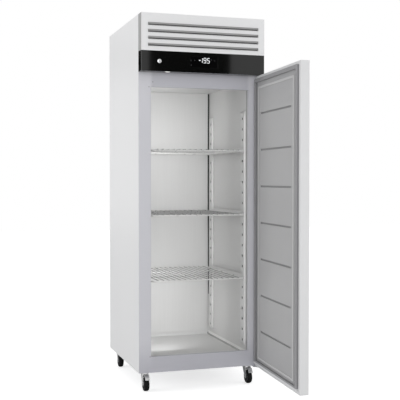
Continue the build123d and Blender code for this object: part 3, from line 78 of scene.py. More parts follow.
def put(tree, kind, inputs=(), **settings):
    """Add a node, set its properties, and fill its inputs with values or other nodes' outputs."""
    made = tree.nodes.new(kind)
    for key, value in settings.items():
        setattr(made, key, value)
    for key, value in dict(inputs).items():
        if isinstance(value, bpy.types.NodeSocket):
            tree.links.new(value, made.inputs[key])
        else:
            made.inputs[key].default_value = value
    return made


def maths(tree, operation, *values):
    """Work one sum out in a node tree."""
    return put(tree, "ShaderNodeMath", dict(enumerate(values)), operation=operation).outputs[0]


def new_material(name, on_shader):
    """Start a material with these values on its shader, and give it with its tree and shader."""
    made = bpy.data.materials.new(name)
    made.use_nodes = True
    shader = made.node_tree.nodes["Principled BSDF"]
    for label, value in on_shader.items():
        shader.inputs[label].default_value = value
    return made, made.node_tree, shader


def stage_card(name, corners, colour):
    """Add one flat square of the studio, and give it with its shader."""
    mesh = bpy.data.meshes.new(name)
    mesh.from_pydata(corners, [], [(0, 1, 2, 3)])
    cloth, tree, shader = new_material(name, {
        "Base Color": (*colour, 1), "Roughness": 0.9, "Specular IOR Level": 0.0})
    mesh.materials.append(cloth)
    card = show(name, mesh)
    return card, tree, shader


lens = bpy.data.cameras.new("photo_camera")
lens.lens = focal_length
lens.sensor_width = 36.0
lens.clip_end = 100.0
camera = show("photo_camera", lens)
camera.location = camera_place
camera.rotation_euler = (pi / 2 + camera_dip, 0, camera_turn)
bpy.context.scene.camera = camera
bpy.context.scene.view_settings.view_transform = "Standard"

for name, (spot, target, (wide, tall), power) in lamps.items():
    light = bpy.data.lights.new(name, "AREA")
    light.shape = "RECTANGLE"
    light.size = wide
    light.size_y = tall
    light.energy = power
    lamp = show(name, light)
    lamp.location = spot
    lamp.rotation_euler = (Vector(target) - Vector(spot)).to_track_quat("-Z", "Y").to_euler()
    lamp.visible_camera = False
    lamp.visible_glossy = "cavity" not in name

world = bpy.data.worlds.new("studio")
bpy.context.scene.world = world
world.use_nodes = True
sky = world.node_tree
rays = put(sky, "ShaderNodeLightPath").outputs
seen = maths(sky, "MAXIMUM", maths(sky, "MAXIMUM", rays["Is Camera Ray"], rays["Is Glossy Ray"]),
             rays["Is Transmission Ray"])
level = put(sky, "ShaderNodeMapRange", {"Value": seen, "To Min": world_level, "To Max": 1.0})
sky.nodes["Background"].inputs["Color"].default_value = (1.0, 1.0, 1.0, 1.0)
sky.links.new(level.outputs["Result"], sky.nodes["Background"].inputs["Strength"])

floor_corners = [(x * floor_half, y * floor_half, 0) for x, y in square]
floor_tree, floor_shader = stage_card("studio_floor", floor_corners, floor_grey)[1:]
floor_rays = put(floor_tree, "ShaderNodeLightPath").outputs
floor_shader.inputs["Emission Color"].default_value = (1, 1, 1, 1)
floor_tree.links.new(maths(floor_tree, "MULTIPLY", floor_rays["Is Camera Ray"], floor_glow_level),
                     floor_shader.inputs["Emission Strength"])
for name, ((x, y, z), (wide, tall)) in flags.items():
    flag = stage_card(name, [(x + u * wide, y, z + v * tall) for u, v in square], flag_black)[0]
    for ray in ("camera", "diffuse", "transmission", "shadow", "volume_scatter"):
        setattr(flag, f"visible_{ray}", False)

# Painted sheets: the cabinet's sides, back and top and the door's outer tray are folded steel
# sheet with a satin white powder coat, whose fine orange peel shows in the gloss.
coat_white = (0.765, 0.768, 0.775)
sheet_edge = 0.00035
weld_reach = 0.00001
flat_angle = radians(1.0)


def effect(name, inputs):
    """Start a node group with named inputs for an effect that materials share."""
    group = bpy.data.node_groups.new(name, "ShaderNodeTree")
    for label, value in inputs.items():
        kind = "NodeSocketColor" if isinstance(value, tuple) else "NodeSocketFloat"
        group.interface.new_socket(label, in_out="INPUT", socket_type=kind).default_value = value
    for label in ("Color", "Roughness", "Height"):
        kind = "NodeSocketColor" if label == "Color" else "NodeSocketFloat"
        group.interface.new_socket(label, in_out="OUTPUT", socket_type=kind)
    return group, group.nodes.new("NodeGroupInput").outputs


def close_effect(group, given, swing, depth, spread, height):
    """End an effect, whose swing shades the colour and the roughness."""
    wanted = group.nodes.new("NodeGroupOutput").inputs
    shade = maths(group, "MULTIPLY_ADD", swing, depth, 1.0)
    toned = put(group, "ShaderNodeVectorMath", {0: given["Color"], "Scale": shade}, operation="SCALE")
    group.links.new(toned.outputs["Vector"], wanted["Color"])
    group.links.new(maths(group, "MULTIPLY_ADD", swing, spread, given["Roughness"]), wanted["Roughness"])
    group.links.new(height, wanted["Height"])


mottle, given = effect("mottled_finish", {
    "Color": (0.8, 0.8, 0.8, 1), "Shade": 0.06, "Patch Scale": 2.0, "Roughness": 0.4,
    "Roughness Spread": 0.06, "Grain Scale": 600.0})
here = put(mottle, "ShaderNodeTexCoord").outputs["Object"]
patches = put(mottle, "ShaderNodeTexNoise", {"Vector": here, "Scale": given["Patch Scale"],
                                             "Detail": 4.0, "Roughness": 0.55})
grain = put(mottle, "ShaderNodeTexNoise", {"Vector": here, "Scale": given["Grain Scale"], "Detail": 2.0})
close_effect(mottle, given, maths(mottle, "SUBTRACT", patches.outputs["Fac"], 0.5), given["Shade"],
             given["Roughness Spread"], grain.outputs["Fac"])


def surface(name, group_tree, colour, values, height, on_shader):
    """Make a material whose colour, roughness and fine relief come from a shared effect."""
    made, tree, shader = new_material(name, on_shader)
    made.diffuse_color = (*colour, 1)
    group = put(tree, "ShaderNodeGroup", {"Color": (*colour, 1), **values}, node_tree=group_tree)
    relief = put(tree, "ShaderNodeBump", {"Height": group.outputs["Height"], "Distance": height})
    tree.links.new(group.outputs["Color"], shader.inputs["Base Color"])
    tree.links.new(group.outputs["Roughness"], shader.inputs["Roughness"])
    tree.links.new(relief.outputs["Normal"], shader.inputs["Normal"])
    return made


def finish(name, colour, roughness, metallic=0.0, shade=0.05, patches=2.0, grain=600.0,
           height=0.00002, spread=0.06, on_shader=()):
    """Make a mottled finish with a fine grain."""
    values = {"Shade": shade, "Patch Scale": patches, "Roughness": roughness,
              "Roughness Spread": spread, "Grain Scale": grain}
    return surface(name, mottle, colour, values, height, {"Metallic": metallic, **dict(on_shader)})


def round_edges(piece, width, segments=2, angle=28.0):
    """Round a piece's sharp edges and keep its flat faces flat in the gloss."""
    rounding = piece.modifiers.new("soft edges", "BEVEL")
    rounding.width = width
    rounding.segments = segments
    rounding.limit_method = "ANGLE"
    rounding.angle_limit = radians(angle)
    flats = piece.modifiers.new("flat faces", "WEIGHTED_NORMAL")
    flats.mode = "FACE_AREA"
    flats.weight = 90
    piece.data.shade_smooth()


def thicken(piece, sheet, offset=-1.0, even=True):
    """Give a surface its sheet thickness, inwards unless the offset says otherwise."""
    wall = piece.modifiers.new("sheet", "SOLIDIFY")
    wall.thickness = sheet
    wall.offset = offset
    wall.use_even_offset = even


def plain_mesh(piece):
    """Give a piece's mesh with its modifiers applied."""
    graph = bpy.context.evaluated_depsgraph_get()
    graph.update()
    return bpy.data.meshes.new_from_object(piece.evaluated_get(graph), depsgraph=graph)


def settle(name, mesh, material, body, slot, *nodes, wall=None, edge=None):
    """Show a finished mesh, and say what it is made of, what it rides on and what it stands for."""
    piece = show(name, mesh)
    if wall:
        thicken(piece, *wall)
    if edge:
        round_edges(piece, *edge)
    if piece.modifiers:
        made = plain_mesh(piece)
        piece.modifiers.clear()
        piece.data = made
    piece.data.name = name
    piece.data.materials.clear()
    piece.data.materials.append(material)
    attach(piece, body)
    if nodes:
        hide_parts(*nodes)


def dress(name, node, material, body, slot, *edge):
    """Copy a carried-over piece, join its triangles into faces and round its sharp edges."""
    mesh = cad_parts[node].data.copy()
    shape = bmesh.new()
    shape.from_mesh(mesh)
    bmesh.ops.remove_doubles(shape, verts=shape.verts, dist=weld_reach)
    bmesh.ops.dissolve_limit(shape, angle_limit=flat_angle, verts=shape.verts, edges=shape.edges)
    shape.to_mesh(mesh)
    shape.free()
    mesh.materials.clear()
    settle(name, mesh, material, body, slot, node, edge=edge)


powder_coat = finish("powder_coat", coat_white, 0.38, shade=0.03, patches=1.4, grain=900.0)
for node in ("side_panel_left", "side_panel_right", "rear_panel", "top_cover", "rear_grille"):
    dress(f"painted_{node}", node, powder_coat, "cabinet", "white_paint", sheet_edge)
dress("painted_door_tray", "door_skin", powder_coat, "door", "white_paint", sheet_edge)

# Base pan and roof deck: bare galvanised sheet under the cabinet and above its ceiling,
# with the faint cloudy spangle that dipped zinc has.
galvanised = finish("galvanised_sheet", (0.50, 0.51, 0.53), 0.42, metallic=0.85, shade=0.35,
                    patches=38.0, grain=300.0, spread=0.2)
for node in ("base_panel", "roof_deck"):
    dress(f"zinc_{node}", node, galvanised, "cabinet", "galvanised", sheet_edge)

# Fascia: one folded white sheet over the machine compartment, with greyer end folds, whose white is a
# lighter copy of the cabinet's coat, as painted light. Its four slots have lips rolled inwards below,
# and hoods pressed inwards above, so air enters unseen; hoods and lips are painted mid grey, as
# painted shade.
fascia_lit_white = (0.85, 0.853, 0.86)
fold_grey = (0.28, 0.28, 0.28)
fold_radius = 0.0025
fold_width = 0.0012
fold_blur = 0.0002
fascia_sheet = 0.0015
fascia_flange = 0.020
louvre_half = 0.308
louvre_count = 4
louvre_pitch = 0.036
louvre_rise = 0.032
louvre_sheet = 0.0008
slot_half = 0.007
hood_depth = 0.010
hood_drop = 0.0085
lip_radius = 0.0022
lip_reach = 0.003
arc_steps = 6
double_reach = 0.000005
fascia_low, fascia_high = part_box("fascia_grille")
first_louvre = fascia_low.z + louvre_rise


def arc(centre, radius, start, end):
    """Give points on an arc between two angles in degrees."""
    turns = [radians(start + (end - start) * i / arc_steps) for i in range(arc_steps + 1)]
    return [(centre[0] + radius * cos(turn), centre[1] + radius * sin(turn)) for turn in turns]


def ruled(shape, lines, gaps=()):
    """Add the faces between lines of points, but for the gaps, each given by its row and place."""
    levels = [[shape.verts.new(point) for point in line] for line in lines]
    for row, (lower, upper) in enumerate(zip(levels, levels[1:])):
        for i in range(len(lower) - 1):
            if (row, i) not in gaps:
                shape.faces.new((lower[i], lower[i + 1], upper[i + 1], upper[i]))
    return levels


def make_mesh(shape):
    """Close a shape's doubles, turn its faces outwards and make it a mesh."""
    bmesh.ops.remove_doubles(shape, verts=shape.verts, dist=double_reach)
    bmesh.ops.recalc_face_normals(shape, faces=shape.faces)
    mesh = bpy.data.meshes.new("shape")
    shape.to_mesh(mesh)
    shape.free()
    mesh.shade_smooth()
    return mesh


def recolour(material, second, *bands):
    """Mix a second colour into a finish where its bands cross.

    A band rises from nothing at one value of its measure to full at another. The measure is X, Y or
    Z, "out" for the distance sideways from the middle, or a function that works it out.
    """
    tree = material.node_tree
    colour = next(node for node in tree.nodes if node.bl_idname == "ShaderNodeGroup").inputs["Color"]
    first = colour.links[0].from_socket if colour.links else tuple(colour.default_value)
    mask = 1.0
    for measure, start, full in bands:
        if callable(measure):
            value = measure(tree)
        else:
            here = put(tree, "ShaderNodeTexCoord").outputs["Object"]
            parts = put(tree, "ShaderNodeSeparateXYZ", {0: here}).outputs
            value = maths(tree, "ABSOLUTE", parts["X"]) if measure == "out" else parts[measure]
        rise = put(tree, "ShaderNodeMapRange", {"Value": value, "From Min": start, "From Max": full},
                   interpolation_type="SMOOTHSTEP")
        mask = maths(tree, "MULTIPLY", mask, rise.outputs[0])
    tones = put(tree, "ShaderNodeMix", {0: mask, 6: first, 7: (*second, 1)}, data_type="RGBA")
    tree.links.new(tones.outputs[2], colour)


right_fold = arc((fascia_high.x - fold_radius, fascia_low.y + fold_radius), fold_radius, -90, 0)
right_side = [(louvre_half, fascia_low.y), *right_fold, (fascia_high.x, fascia_high.y),
              (fascia_high.x - fascia_flange, fascia_high.y)]
outline = [(-x, y) for x, y in reversed(right_side)] + right_side
heights = [fascia_low.z]
for i in range(louvre_count):
    middle = first_louvre + louvre_pitch * i
    heights += [middle - slot_half - lip_radius, middle + slot_half]
heights.append(fascia_high.z)
slots = {(2 * i + 1, len(right_side) - 1) for i in range(louvre_count)}
shape = bmesh.new()
levels = ruled(shape, [[(x, y, z) for x, y in outline] for z in heights], slots)
shape.faces.new(levels[-1])
# Painted light: the fascia's coat is a lighter copy of the cabinet's white.
fascia_coat = finish("fascia_coat", fascia_lit_white, 0.38, shade=0.03, patches=1.4, grain=900.0)
fold_start = fascia_high.x - fold_width
recolour(fascia_coat, fold_grey, ("out", fold_start - fold_blur, fold_start))
settle("fascia_shell", make_mesh(shape), fascia_coat, "cabinet", "white_paint", "fascia_grille",
       wall=(fascia_sheet,), edge=(0.0005, 2, 50.0))

socket_kinds = {tuple: "NodeSocketVector", int: "NodeSocketInt", float: "NodeSocketFloat"}


def start_tree(name, sizes):
    """Start a geometry tree with its named inputs, and give it with them."""
    tree = bpy.data.node_groups.new(name, "GeometryNodeTree")
    tree.interface.new_socket("Geometry", in_out="INPUT", socket_type="NodeSocketGeometry")
    for label, value in sizes.items():
        socket = tree.interface.new_socket(label, in_out="INPUT", socket_type=socket_kinds[type(value)])
        socket.default_value = value
    tree.interface.new_socket("Finish", in_out="INPUT", socket_type="NodeSocketMaterial")
    tree.interface.new_socket("Geometry", in_out="OUTPUT", socket_type="NodeSocketGeometry")
    return tree, tree.nodes.new("NodeGroupInput").outputs


def close_tree(tree, given, geometry):
    """End a geometry tree with real geometry and its finish."""
    whole = put(tree, "GeometryNodeRealizeInstances", {"Geometry": geometry})
    welded = put(tree, "GeometryNodeMergeByDistance",
                 {"Geometry": whole.outputs["Geometry"], "Distance": double_reach})
    finished = put(tree, "GeometryNodeSetMaterial",
                   {"Geometry": welded.outputs["Geometry"], "Material": given["Finish"]})
    tree.links.new(finished.outputs["Geometry"], tree.nodes.new("NodeGroupOutput").inputs[0])


def grow(tree, sizes, mesh=None):
    """Run a geometry tree on a mesh with these sizes, and give what it makes as a plain mesh."""
    piece = show("growing", mesh or bpy.data.meshes.new("growing"))
    growing = piece.modifiers.new("grow", "NODES")
    growing.node_group = tree
    for socket in tree.interface.items_tree:
        if socket.in_out == "INPUT" and socket.name in sizes:
            growing[socket.identifier] = sizes[socket.name]
    made = plain_mesh(piece)
    bpy.data.objects.remove(piece)
    return made


row_tree, given = start_tree("row_of_pieces", {
    "Count": 2, "Start": (0.0, 0.0, 0.0), "Step": (0.0, 0.0, 0.1)})
spots = put(row_tree, "GeometryNodeMeshLine", {
    "Count": given["Count"], "Start Location": given["Start"], "Offset": given["Step"]})
copies = put(row_tree, "GeometryNodeInstanceOnPoints", {
    "Points": spots.outputs["Mesh"], "Instance": given["Geometry"]})
close_tree(row_tree, given, copies.outputs["Instances"])


def in_rows(mesh, material, *rows):
    """Repeat a mesh in rows, each row given by its count, its start and its step."""
    for count, start, step in rows:
        mesh = grow(row_tree, {"Count": count, "Start": start, "Step": step, "Finish": material}, mesh)
    return mesh


quarter = [pi / 2 * i / arc_steps for i in range(arc_steps + 1)]
hood = [(hood_depth * (1 - cos(turn)), slot_half - hood_drop * sin(turn)) for turn in quarter]
lip = [(lip_radius * (1 - cos(turn)), lip_radius * (sin(turn) - 1) - slot_half) for turn in quarter]
lip.append((lip_radius + lip_reach, -slot_half))
cheek = [*hood, (hood_depth, -slot_half), *reversed(lip)]
louvre_ends = (-louvre_half, louvre_half)
shape = bmesh.new()
for line in (hood, lip):
    ruled(shape, [[(x, fascia_low.y + y, z) for y, z in line] for x in louvre_ends])
for x in louvre_ends:
    shape.faces.new([shape.verts.new((x, fascia_low.y + y, z)) for y, z in cheek])
# Painted shade: the hoods and lips, pressed from the same white sheet, are painted mid grey for the shade
# inside the slots.
louvre_painted_shade = finish("louvre_painted_shade", (0.5, 0.5, 0.5), 0.45, shade=0.03, grain=900.0)
louvres = in_rows(make_mesh(shape), louvre_painted_shade,
                  (louvre_count, (0, 0, first_louvre), (0, 0, louvre_pitch)))
settle("louvre_hoods", louvres, louvre_painted_shade, "cabinet", "white_paint", "fascia_grille",
       wall=(louvre_sheet,), edge=(0.0002, 1, 60.0))

# Slot shade: a pleated sheet of black fleece behind the louvres, in front of the condenser. It is
# painted shade, a dark sheet put there so that the open slots look dark.
pleat_pitch = 0.008
pleat_depth = 0.006
pleat_half = 0.320
pleat_front = fascia_low.y + 0.016
pleat_margin = 0.012
fleece_sheet = 0.001
fold = ((0, 0), (pleat_pitch / 2, pleat_depth), (pleat_pitch, 0))
shape = bmesh.new()
ruled(shape, [[(x, pleat_front + y, z) for x, y in fold]
              for z in (fascia_low.z + pleat_margin, fascia_high.z - pleat_margin)])
painted_shade_fleece = finish("painted_shade_fleece", (0.012, 0.012, 0.012), 0.95, shade=0.3, patches=80.0,
                      grain=1500.0, height=0.0003)
pleats = in_rows(make_mesh(shape), painted_shade_fleece,
                 (int(2 * pleat_half / pleat_pitch), (-pleat_half, 0, 0), (pleat_pitch, 0, 0)))
settle("slot_shade_sheet", pleats, painted_shade_fleece, "cabinet", "module_plastic", wall=(fleece_sheet,))

# Front frame: a pale lavender-grey moulded ring round the opening, satin and a little soft at
# its edges, which the door's gasket seals on. Its stiles are painted lighter and its header and sill
# darker, as painted light and shade, and the stiles fade to the darker shade near their foot. Small
# plugs close the jig holes near the opening's corners.
frame_edge = 0.0012
stile_start = (0.262, 0.286)
stile_foot_shade = (0.11, 0.30)
shaded_header_grey = (0.53, 0.53, 0.575)
lit_stile_grey = (0.665, 0.665, 0.705)
sharp_angle = radians(38)
plug_places = ((-0.267, 1.657), (-0.2876, 1.6305), (-0.2837, 0.1935))
plug_rings = [(0, -0.0008), (0.0018, -0.0007), (0.0026, -0.0003), (0.0028, 0.0002), (0.0024, 0.003),
              (0, 0.003)]
axis_turns = {"X": Matrix.Rotation(pi / 2, 4, "Y"), "Y": Matrix.Rotation(-pi / 2, 4, "X"),
              "Z": Matrix.Identity(4)}
# The header and sill tone is painted shade and the stiles' paler tone painted light, both on one satin grey.
frame_finish = finish("frame_satin", shaded_header_grey, 0.42, shade=0.04, patches=1.6, grain=700.0)
recolour(frame_finish, lit_stile_grey, ("out", *stile_start), ("Z", *stile_foot_shade))
dress("opening_frame", "front_frame", frame_finish, "cabinet", "frame_grey", frame_edge)


def turned(rings, centre=(0, 0, 0), axis="Z", sides=32, closed=False):
    """Turn a profile of radii and heights into a round mesh along an axis."""
    shape = bmesh.new()
    angles = [2 * pi * i / sides for i in range(sides)]
    loops = [[shape.verts.new((radius * cos(angle), radius * sin(angle), height))
              for angle in (angles if radius else angles[:1])] for radius, height in rings]
    for lower, upper in zip(loops, loops[1:] + loops[:1] * closed):
        for i in range(sides):
            j = (i + 1) % sides
            ring = (lower[i % len(lower)], lower[j % len(lower)], upper[j % len(upper)],
                    upper[i % len(upper)])
            shape.faces.new(list(dict.fromkeys(ring)))
    shape.transform(Matrix.Translation(centre) @ axis_turns[axis])
    mesh = make_mesh(shape)
    mesh.set_sharp_from_angle(angle=sharp_angle)
    return mesh


def joined(*meshes):
    """Put several meshes into one."""
    shape = bmesh.new()
    for mesh in meshes:
        shape.from_mesh(mesh)
    whole = bpy.data.meshes.new("joined")
    shape.to_mesh(whole)
    shape.free()
    whole.shade_smooth()
    whole.set_sharp_from_angle(angle=sharp_angle)
    return whole


plug_grey = finish("plug_grey", (0.24, 0.24, 0.26), 0.5)
frame_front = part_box("front_frame")[0].y
plugs = [turned(plug_rings, (x, frame_front, z), "Y", 14) for x, z in plug_places]
settle("frame_plugs", joined(*plugs), plug_grey, "cabinet", "frame_grey")

# Liner: satin stainless sheets that line the storage space, with the air duct on the back wall
# and a dark tapered wedge on each side of it, painted shade in the gaps beside the duct. The rolled
# grain runs upright. The side walls have a painted highlight along the bend at their foot and a dark
# strip of painted shade at the mouth, and the floor is darker along its edges by the walls.
side_sheet = (0.2762, 0.2766)
mouth_shade_strip = (-0.331, -0.336)
floor_dark_edge = (0.266, 0.269)
floor_top = (0.1790, 0.1785)
wall_foot_highlight = (0.190, 0.187)
shade_foot = 0.42
shade_foot_width = 0.003
shade_foot_depth = 0.003
shade_head_depth = 0.013
duct_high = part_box("rear_air_duct")[1]
cavity_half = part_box("liner_right")[0].x
streak_spread = 0.1

streaks, given = effect("rolled_grain", {
    "Color": (0.6, 0.6, 0.6, 1), "Depth": 0.08, "Across": 500.0, "Along": 3.0, "Roughness": 0.35})
here = put(streaks, "ShaderNodeTexCoord").outputs["Object"]
stretch = put(streaks, "ShaderNodeCombineXYZ", {
    "X": given["Across"], "Y": given["Across"], "Z": given["Along"]})
drawn = put(streaks, "ShaderNodeVectorMath", {0: here, 1: stretch.outputs[0]}, operation="MULTIPLY")
lines = put(streaks, "ShaderNodeTexNoise", {
    "Vector": drawn.outputs["Vector"], "Scale": 1.0, "Detail": 3.0, "Roughness": 0.6})
level = put(streaks, "ShaderNodeMapRange", {
    "Value": lines.outputs["Fac"], "From Min": 0.3, "From Max": 0.7, "To Min": -0.5, "To Max": 0.5})
close_effect(streaks, given, level.outputs["Result"], given["Depth"], streak_spread,
             lines.outputs["Fac"])


def rolled(name, colour, roughness, metallic, depth=0.08, across=500.0, along=3.0, height=0.00002):
    """Make a drawn or rolled metal whose grain runs upright."""
    values = {"Depth": depth, "Across": across, "Along": along, "Roughness": roughness}
    return surface(name, streaks, colour, values, height, {"Metallic": metallic})


def coat_nodes(material, *names):
    """Give carried-over pieces their finish."""
    for name in names:
        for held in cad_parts[name].material_slots:
            held.material = material


def prism(shape, *ends):
    """Add the closed solid between two rings of points."""
    rings = [[shape.verts.new(point) for point in end] for end in ends]
    for ring in rings:
        shape.faces.new(ring)
    for i in range(len(rings[0])):
        j = (i + 1) % len(rings[0])
        shape.faces.new((rings[0][i], rings[0][j], rings[1][j], rings[1][i]))


liner_sheet = rolled("liner_sheet", (0.74, 0.74, 0.735), 0.42, 0.0, depth=0.03, across=260.0)
# Painted shade: a dark strip on the side walls at the mouth.
recolour(liner_sheet, (0.33, 0.33, 0.335), ("out", *side_sheet), ("Y", *mouth_shade_strip))
# The floor is darker along its edges by the side walls.
recolour(liner_sheet, (0.40, 0.40, 0.395), ("out", *floor_dark_edge), ("Z", *floor_top))
# Painted highlight: the side walls' foot bend is painted nearly white.
recolour(liner_sheet, (0.99, 0.99, 0.98), ("out", *side_sheet), ("Z", *wall_foot_highlight))
coat_nodes(liner_sheet, "liner_left", "liner_right", "liner_back", "liner_floor", "liner_ceiling")
dress("air_duct", "rear_air_duct", liner_sheet, "cabinet", "liner_sheet", 0.0004)
# Painted shade: a black tapered wedge fills each gap beside the duct, where the gap lies in shade.
gap_shade_black = finish("gap_shade_black", (0.03, 0.03, 0.03), 0.7, shade=0.1, patches=20.0)
shade_ends = ((shade_foot, shade_foot_width, shade_foot_depth),
             (duct_high.z, cavity_half - duct_high.x, shade_head_depth))
shape = bmesh.new()
for hand in (-1, 1):
    wall = hand * cavity_half
    prism(shape, *([(wall, duct_high.y, z), (wall - hand * width, duct_high.y, z),
                    (wall - hand * width, duct_high.y - deep, z), (wall, duct_high.y - deep, z)]
                   for z, width, deep in shade_ends))
settle("duct_gap_shades", make_mesh(shape), gap_shade_black, "cabinet", "grommet_rubber", edge=(0.0006,))

# Shelf uprights and runners: bright stainless channels with a row of hook holes and rounded
# edges, riveted to the side walls, and the bent angles that hook into them. The channels' flanges
# carry a painted highlight. A black strip behind each channel is painted shade that keeps the holes
# dark.
hole_pitch = 0.0588
hole_count = 22
first_hole = 0.243
hole_half_width = 0.008
hole_half_height = 0.006
channel_round = 0.003
channel_sheet = 0.0011
channel_width = 0.056
channel_depth = 0.010
edge_highlight_band = (0.0015, 0.003)
hole_shade_inset = 0.006
hole_shade_gap = 0.002
hole_shade_sheet = 0.0015
uprights_low, uprights_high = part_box("shelf_pilasters")
channel_face = uprights_high.x - channel_depth
upright_starts = (uprights_low.y, uprights_high.y - channel_width)
bright_steel = rolled("bright_stainless", (0.80, 0.80, 0.795), 0.32, 0.1, depth=0.06, across=900.0)
# Painted highlight: the channels' flanges are painted nearly white.
recolour(bright_steel, (0.96, 0.96, 0.95), ("out", *(channel_face + side for side in edge_highlight_band)))


def upright(hand, start):
    """Make one upright from a module that holds one hole, repeated along its height."""
    near = arc((channel_round, channel_round), channel_round, 180, 270)
    far = arc((channel_width - channel_round, channel_round), channel_round, 270, 360)
    middle = channel_width / 2
    section = [(0, channel_depth), *near, (middle - hole_half_width, 0),
               (middle + hole_half_width, 0), *far, (channel_width, channel_depth)]
    heights = (-hole_pitch / 2, -hole_half_height, hole_half_height, hole_pitch / 2)
    shape = bmesh.new()
    ruled(shape, [[(hand * (channel_face + deep), start + along, z) for along, deep in section]
                  for z in heights], {(1, len(near) + 1)})
    if hand < 0:
        bmesh.ops.reverse_faces(shape, faces=shape.faces)
    module = bpy.data.meshes.new("module")
    shape.to_mesh(module)
    shape.free()
    mesh = in_rows(module, bright_steel, (hole_count, (0, 0, first_hole), (0, 0, hole_pitch)))
    lowest = first_hole - hole_pitch / 2
    highest = lowest + hole_count * hole_pitch
    for corner in mesh.vertices:
        if corner.co.z < lowest + hole_half_height / 2:
            corner.co.z = uprights_low.z
        elif corner.co.z > highest - hole_half_height / 2:
            corner.co.z = uprights_high.z
    return mesh


uprights = joined(*(upright(hand, start) for hand in (-1, 1) for start in upright_starts))
settle("hook_uprights", uprights, bright_steel, "cabinet", "stainless", "shelf_pilasters",
       wall=(channel_sheet, 1.0, False))


def slab(low, high):
    """Make a rectangular plate with all its faces."""
    shape = bmesh.new()
    prism(shape, *([(low[0], low[1], z), (high[0], low[1], z), (high[0], high[1], z),
                    (low[0], high[1], z)] for z in (low[2], high[2])))
    return make_mesh(shape)


# Painted shade: a black strip behind each channel so that its hook holes look dark.
hole_shade_black = finish("hole_shade_black", (0.02, 0.02, 0.02), 0.9, shade=0.2, patches=60.0)
hole_shade_near = cavity_half - hole_shade_gap
hole_shades = [slab((min(x, x + hand * hole_shade_sheet), start + hole_shade_inset, uprights_low.z + hole_shade_inset),
              (max(x, x + hand * hole_shade_sheet), start + channel_width - hole_shade_inset,
               uprights_high.z - hole_shade_inset))
         for hand, x in ((-1, -hole_shade_near), (1, hole_shade_near)) for start in upright_starts]
settle("channel_hole_shades", joined(*hole_shades), hole_shade_black, "cabinet", "grommet_rubber")
dress("shelf_angles", "shelf_runners", bright_steel, "cabinet", "stainless", 0.0004)

# Wire shelves: round steel wires, welded and coated pale grey, with painted shade on the deck wires,
# which are painted dark grey. A rim with rounded corners carries the deck wires from front to back,
# over two cross wires.
shelf_sizes = {"Rim Wire": 0.007, "Deck Wire": 0.004, "Cross Wire": 0.006, "Deck Wires": 16,
               "Cross Spread": 0.24, "Corner": 0.014, "Weld": 0.0005}
wire_sides = 14

shelf_tree, given = start_tree("wire_shelf", {
    "Width": 0.53, "Depth": 0.646, **shelf_sizes, "Middle": (0.0, 0.0, 0.0)})


def wire(tree, curve, diameter):
    """Give a curve its round wire."""
    ring = put(tree, "GeometryNodeCurvePrimitiveCircle",
               {"Resolution": wire_sides, "Radius": maths(tree, "MULTIPLY", diameter, 0.5)})
    return put(tree, "GeometryNodeCurveToMesh", {
        "Curve": curve, "Profile Curve": ring.outputs["Curve"], "Fill Caps": True}).outputs["Mesh"]


def shelf_sum(operation, *values):
    """Work one sum out in the shelf's tree."""
    return maths(shelf_tree, operation, *values)


def shelf_point(**parts):
    """Combine sums into a point in the shelf's tree."""
    return put(shelf_tree, "ShaderNodeCombineXYZ", parts).outputs[0]


def shelf_line(start, end):
    """Add a straight line to the shelf's tree."""
    return put(shelf_tree, "GeometryNodeCurvePrimitiveLine", {"Start": start, "End": end}).outputs["Curve"]


def shelf_row(strand, count, start, step):
    """Add a row of wires to the shelf's tree."""
    row = put(shelf_tree, "GeometryNodeMeshLine", {
        "Count": count, "Start Location": start, "Offset": step})
    return put(shelf_tree, "GeometryNodeInstanceOnPoints", {
        "Points": row.outputs["Mesh"], "Instance": strand}).outputs["Instances"]


rim_width = shelf_sum("SUBTRACT", given["Width"], given["Rim Wire"])
rim_depth = shelf_sum("SUBTRACT", given["Depth"], given["Rim Wire"])
rim_line = put(shelf_tree, "GeometryNodeCurvePrimitiveQuadrilateral", {
    "Width": rim_width, "Height": rim_depth})
bent = put(shelf_tree, "GeometryNodeFilletCurve", {
    "Curve": rim_line.outputs["Curve"], "Count": 8, "Radius": given["Corner"]}, mode="POLY")
rim = wire(shelf_tree, bent.outputs["Curve"], given["Rim Wire"])
both_wires = shelf_sum("ADD", given["Rim Wire"], given["Deck Wire"])
deck_rise = shelf_sum("SUBTRACT", shelf_sum("MULTIPLY", both_wires, 0.5), given["Weld"])
half_depth = shelf_sum("MULTIPLY", given["Depth"], 0.5)
deck_pitch = shelf_sum("DIVIDE", rim_width, shelf_sum("ADD", given["Deck Wires"], 1))
first_wire = shelf_sum("MULTIPLY", shelf_sum("MULTIPLY", deck_pitch, -0.5),
                       shelf_sum("SUBTRACT", given["Deck Wires"], 1))
deck_line = shelf_line(shelf_point(Y=shelf_sum("MULTIPLY", half_depth, -1), Z=deck_rise),
                       shelf_point(Y=half_depth, Z=deck_rise))
deck_strand = put(shelf_tree, "GeometryNodeStoreNamedAttribute", {
    "Geometry": wire(shelf_tree, deck_line, given["Deck Wire"]), "Name": "deck", "Value": 1.0},
    data_type="FLOAT", domain="POINT")
deck = shelf_row(deck_strand.outputs["Geometry"], given["Deck Wires"], shelf_point(X=first_wire),
                 shelf_point(X=deck_pitch))
half_rim = shelf_sum("MULTIPLY", rim_width, 0.5)
cross_rise = shelf_sum("MULTIPLY", given["Weld"], -1)
cross_line = shelf_line(shelf_point(X=shelf_sum("MULTIPLY", half_rim, -1), Z=cross_rise),
                        shelf_point(X=half_rim, Z=cross_rise))
cross = shelf_row(wire(shelf_tree, cross_line, given["Cross Wire"]), 2,
                  shelf_point(Y=shelf_sum("MULTIPLY", given["Cross Spread"], -0.5)),
                  shelf_point(Y=given["Cross Spread"]))
welded = put(shelf_tree, "GeometryNodeJoinGeometry")
for strand in (rim, deck, cross):
    shelf_tree.links.new(strand, welded.inputs["Geometry"])
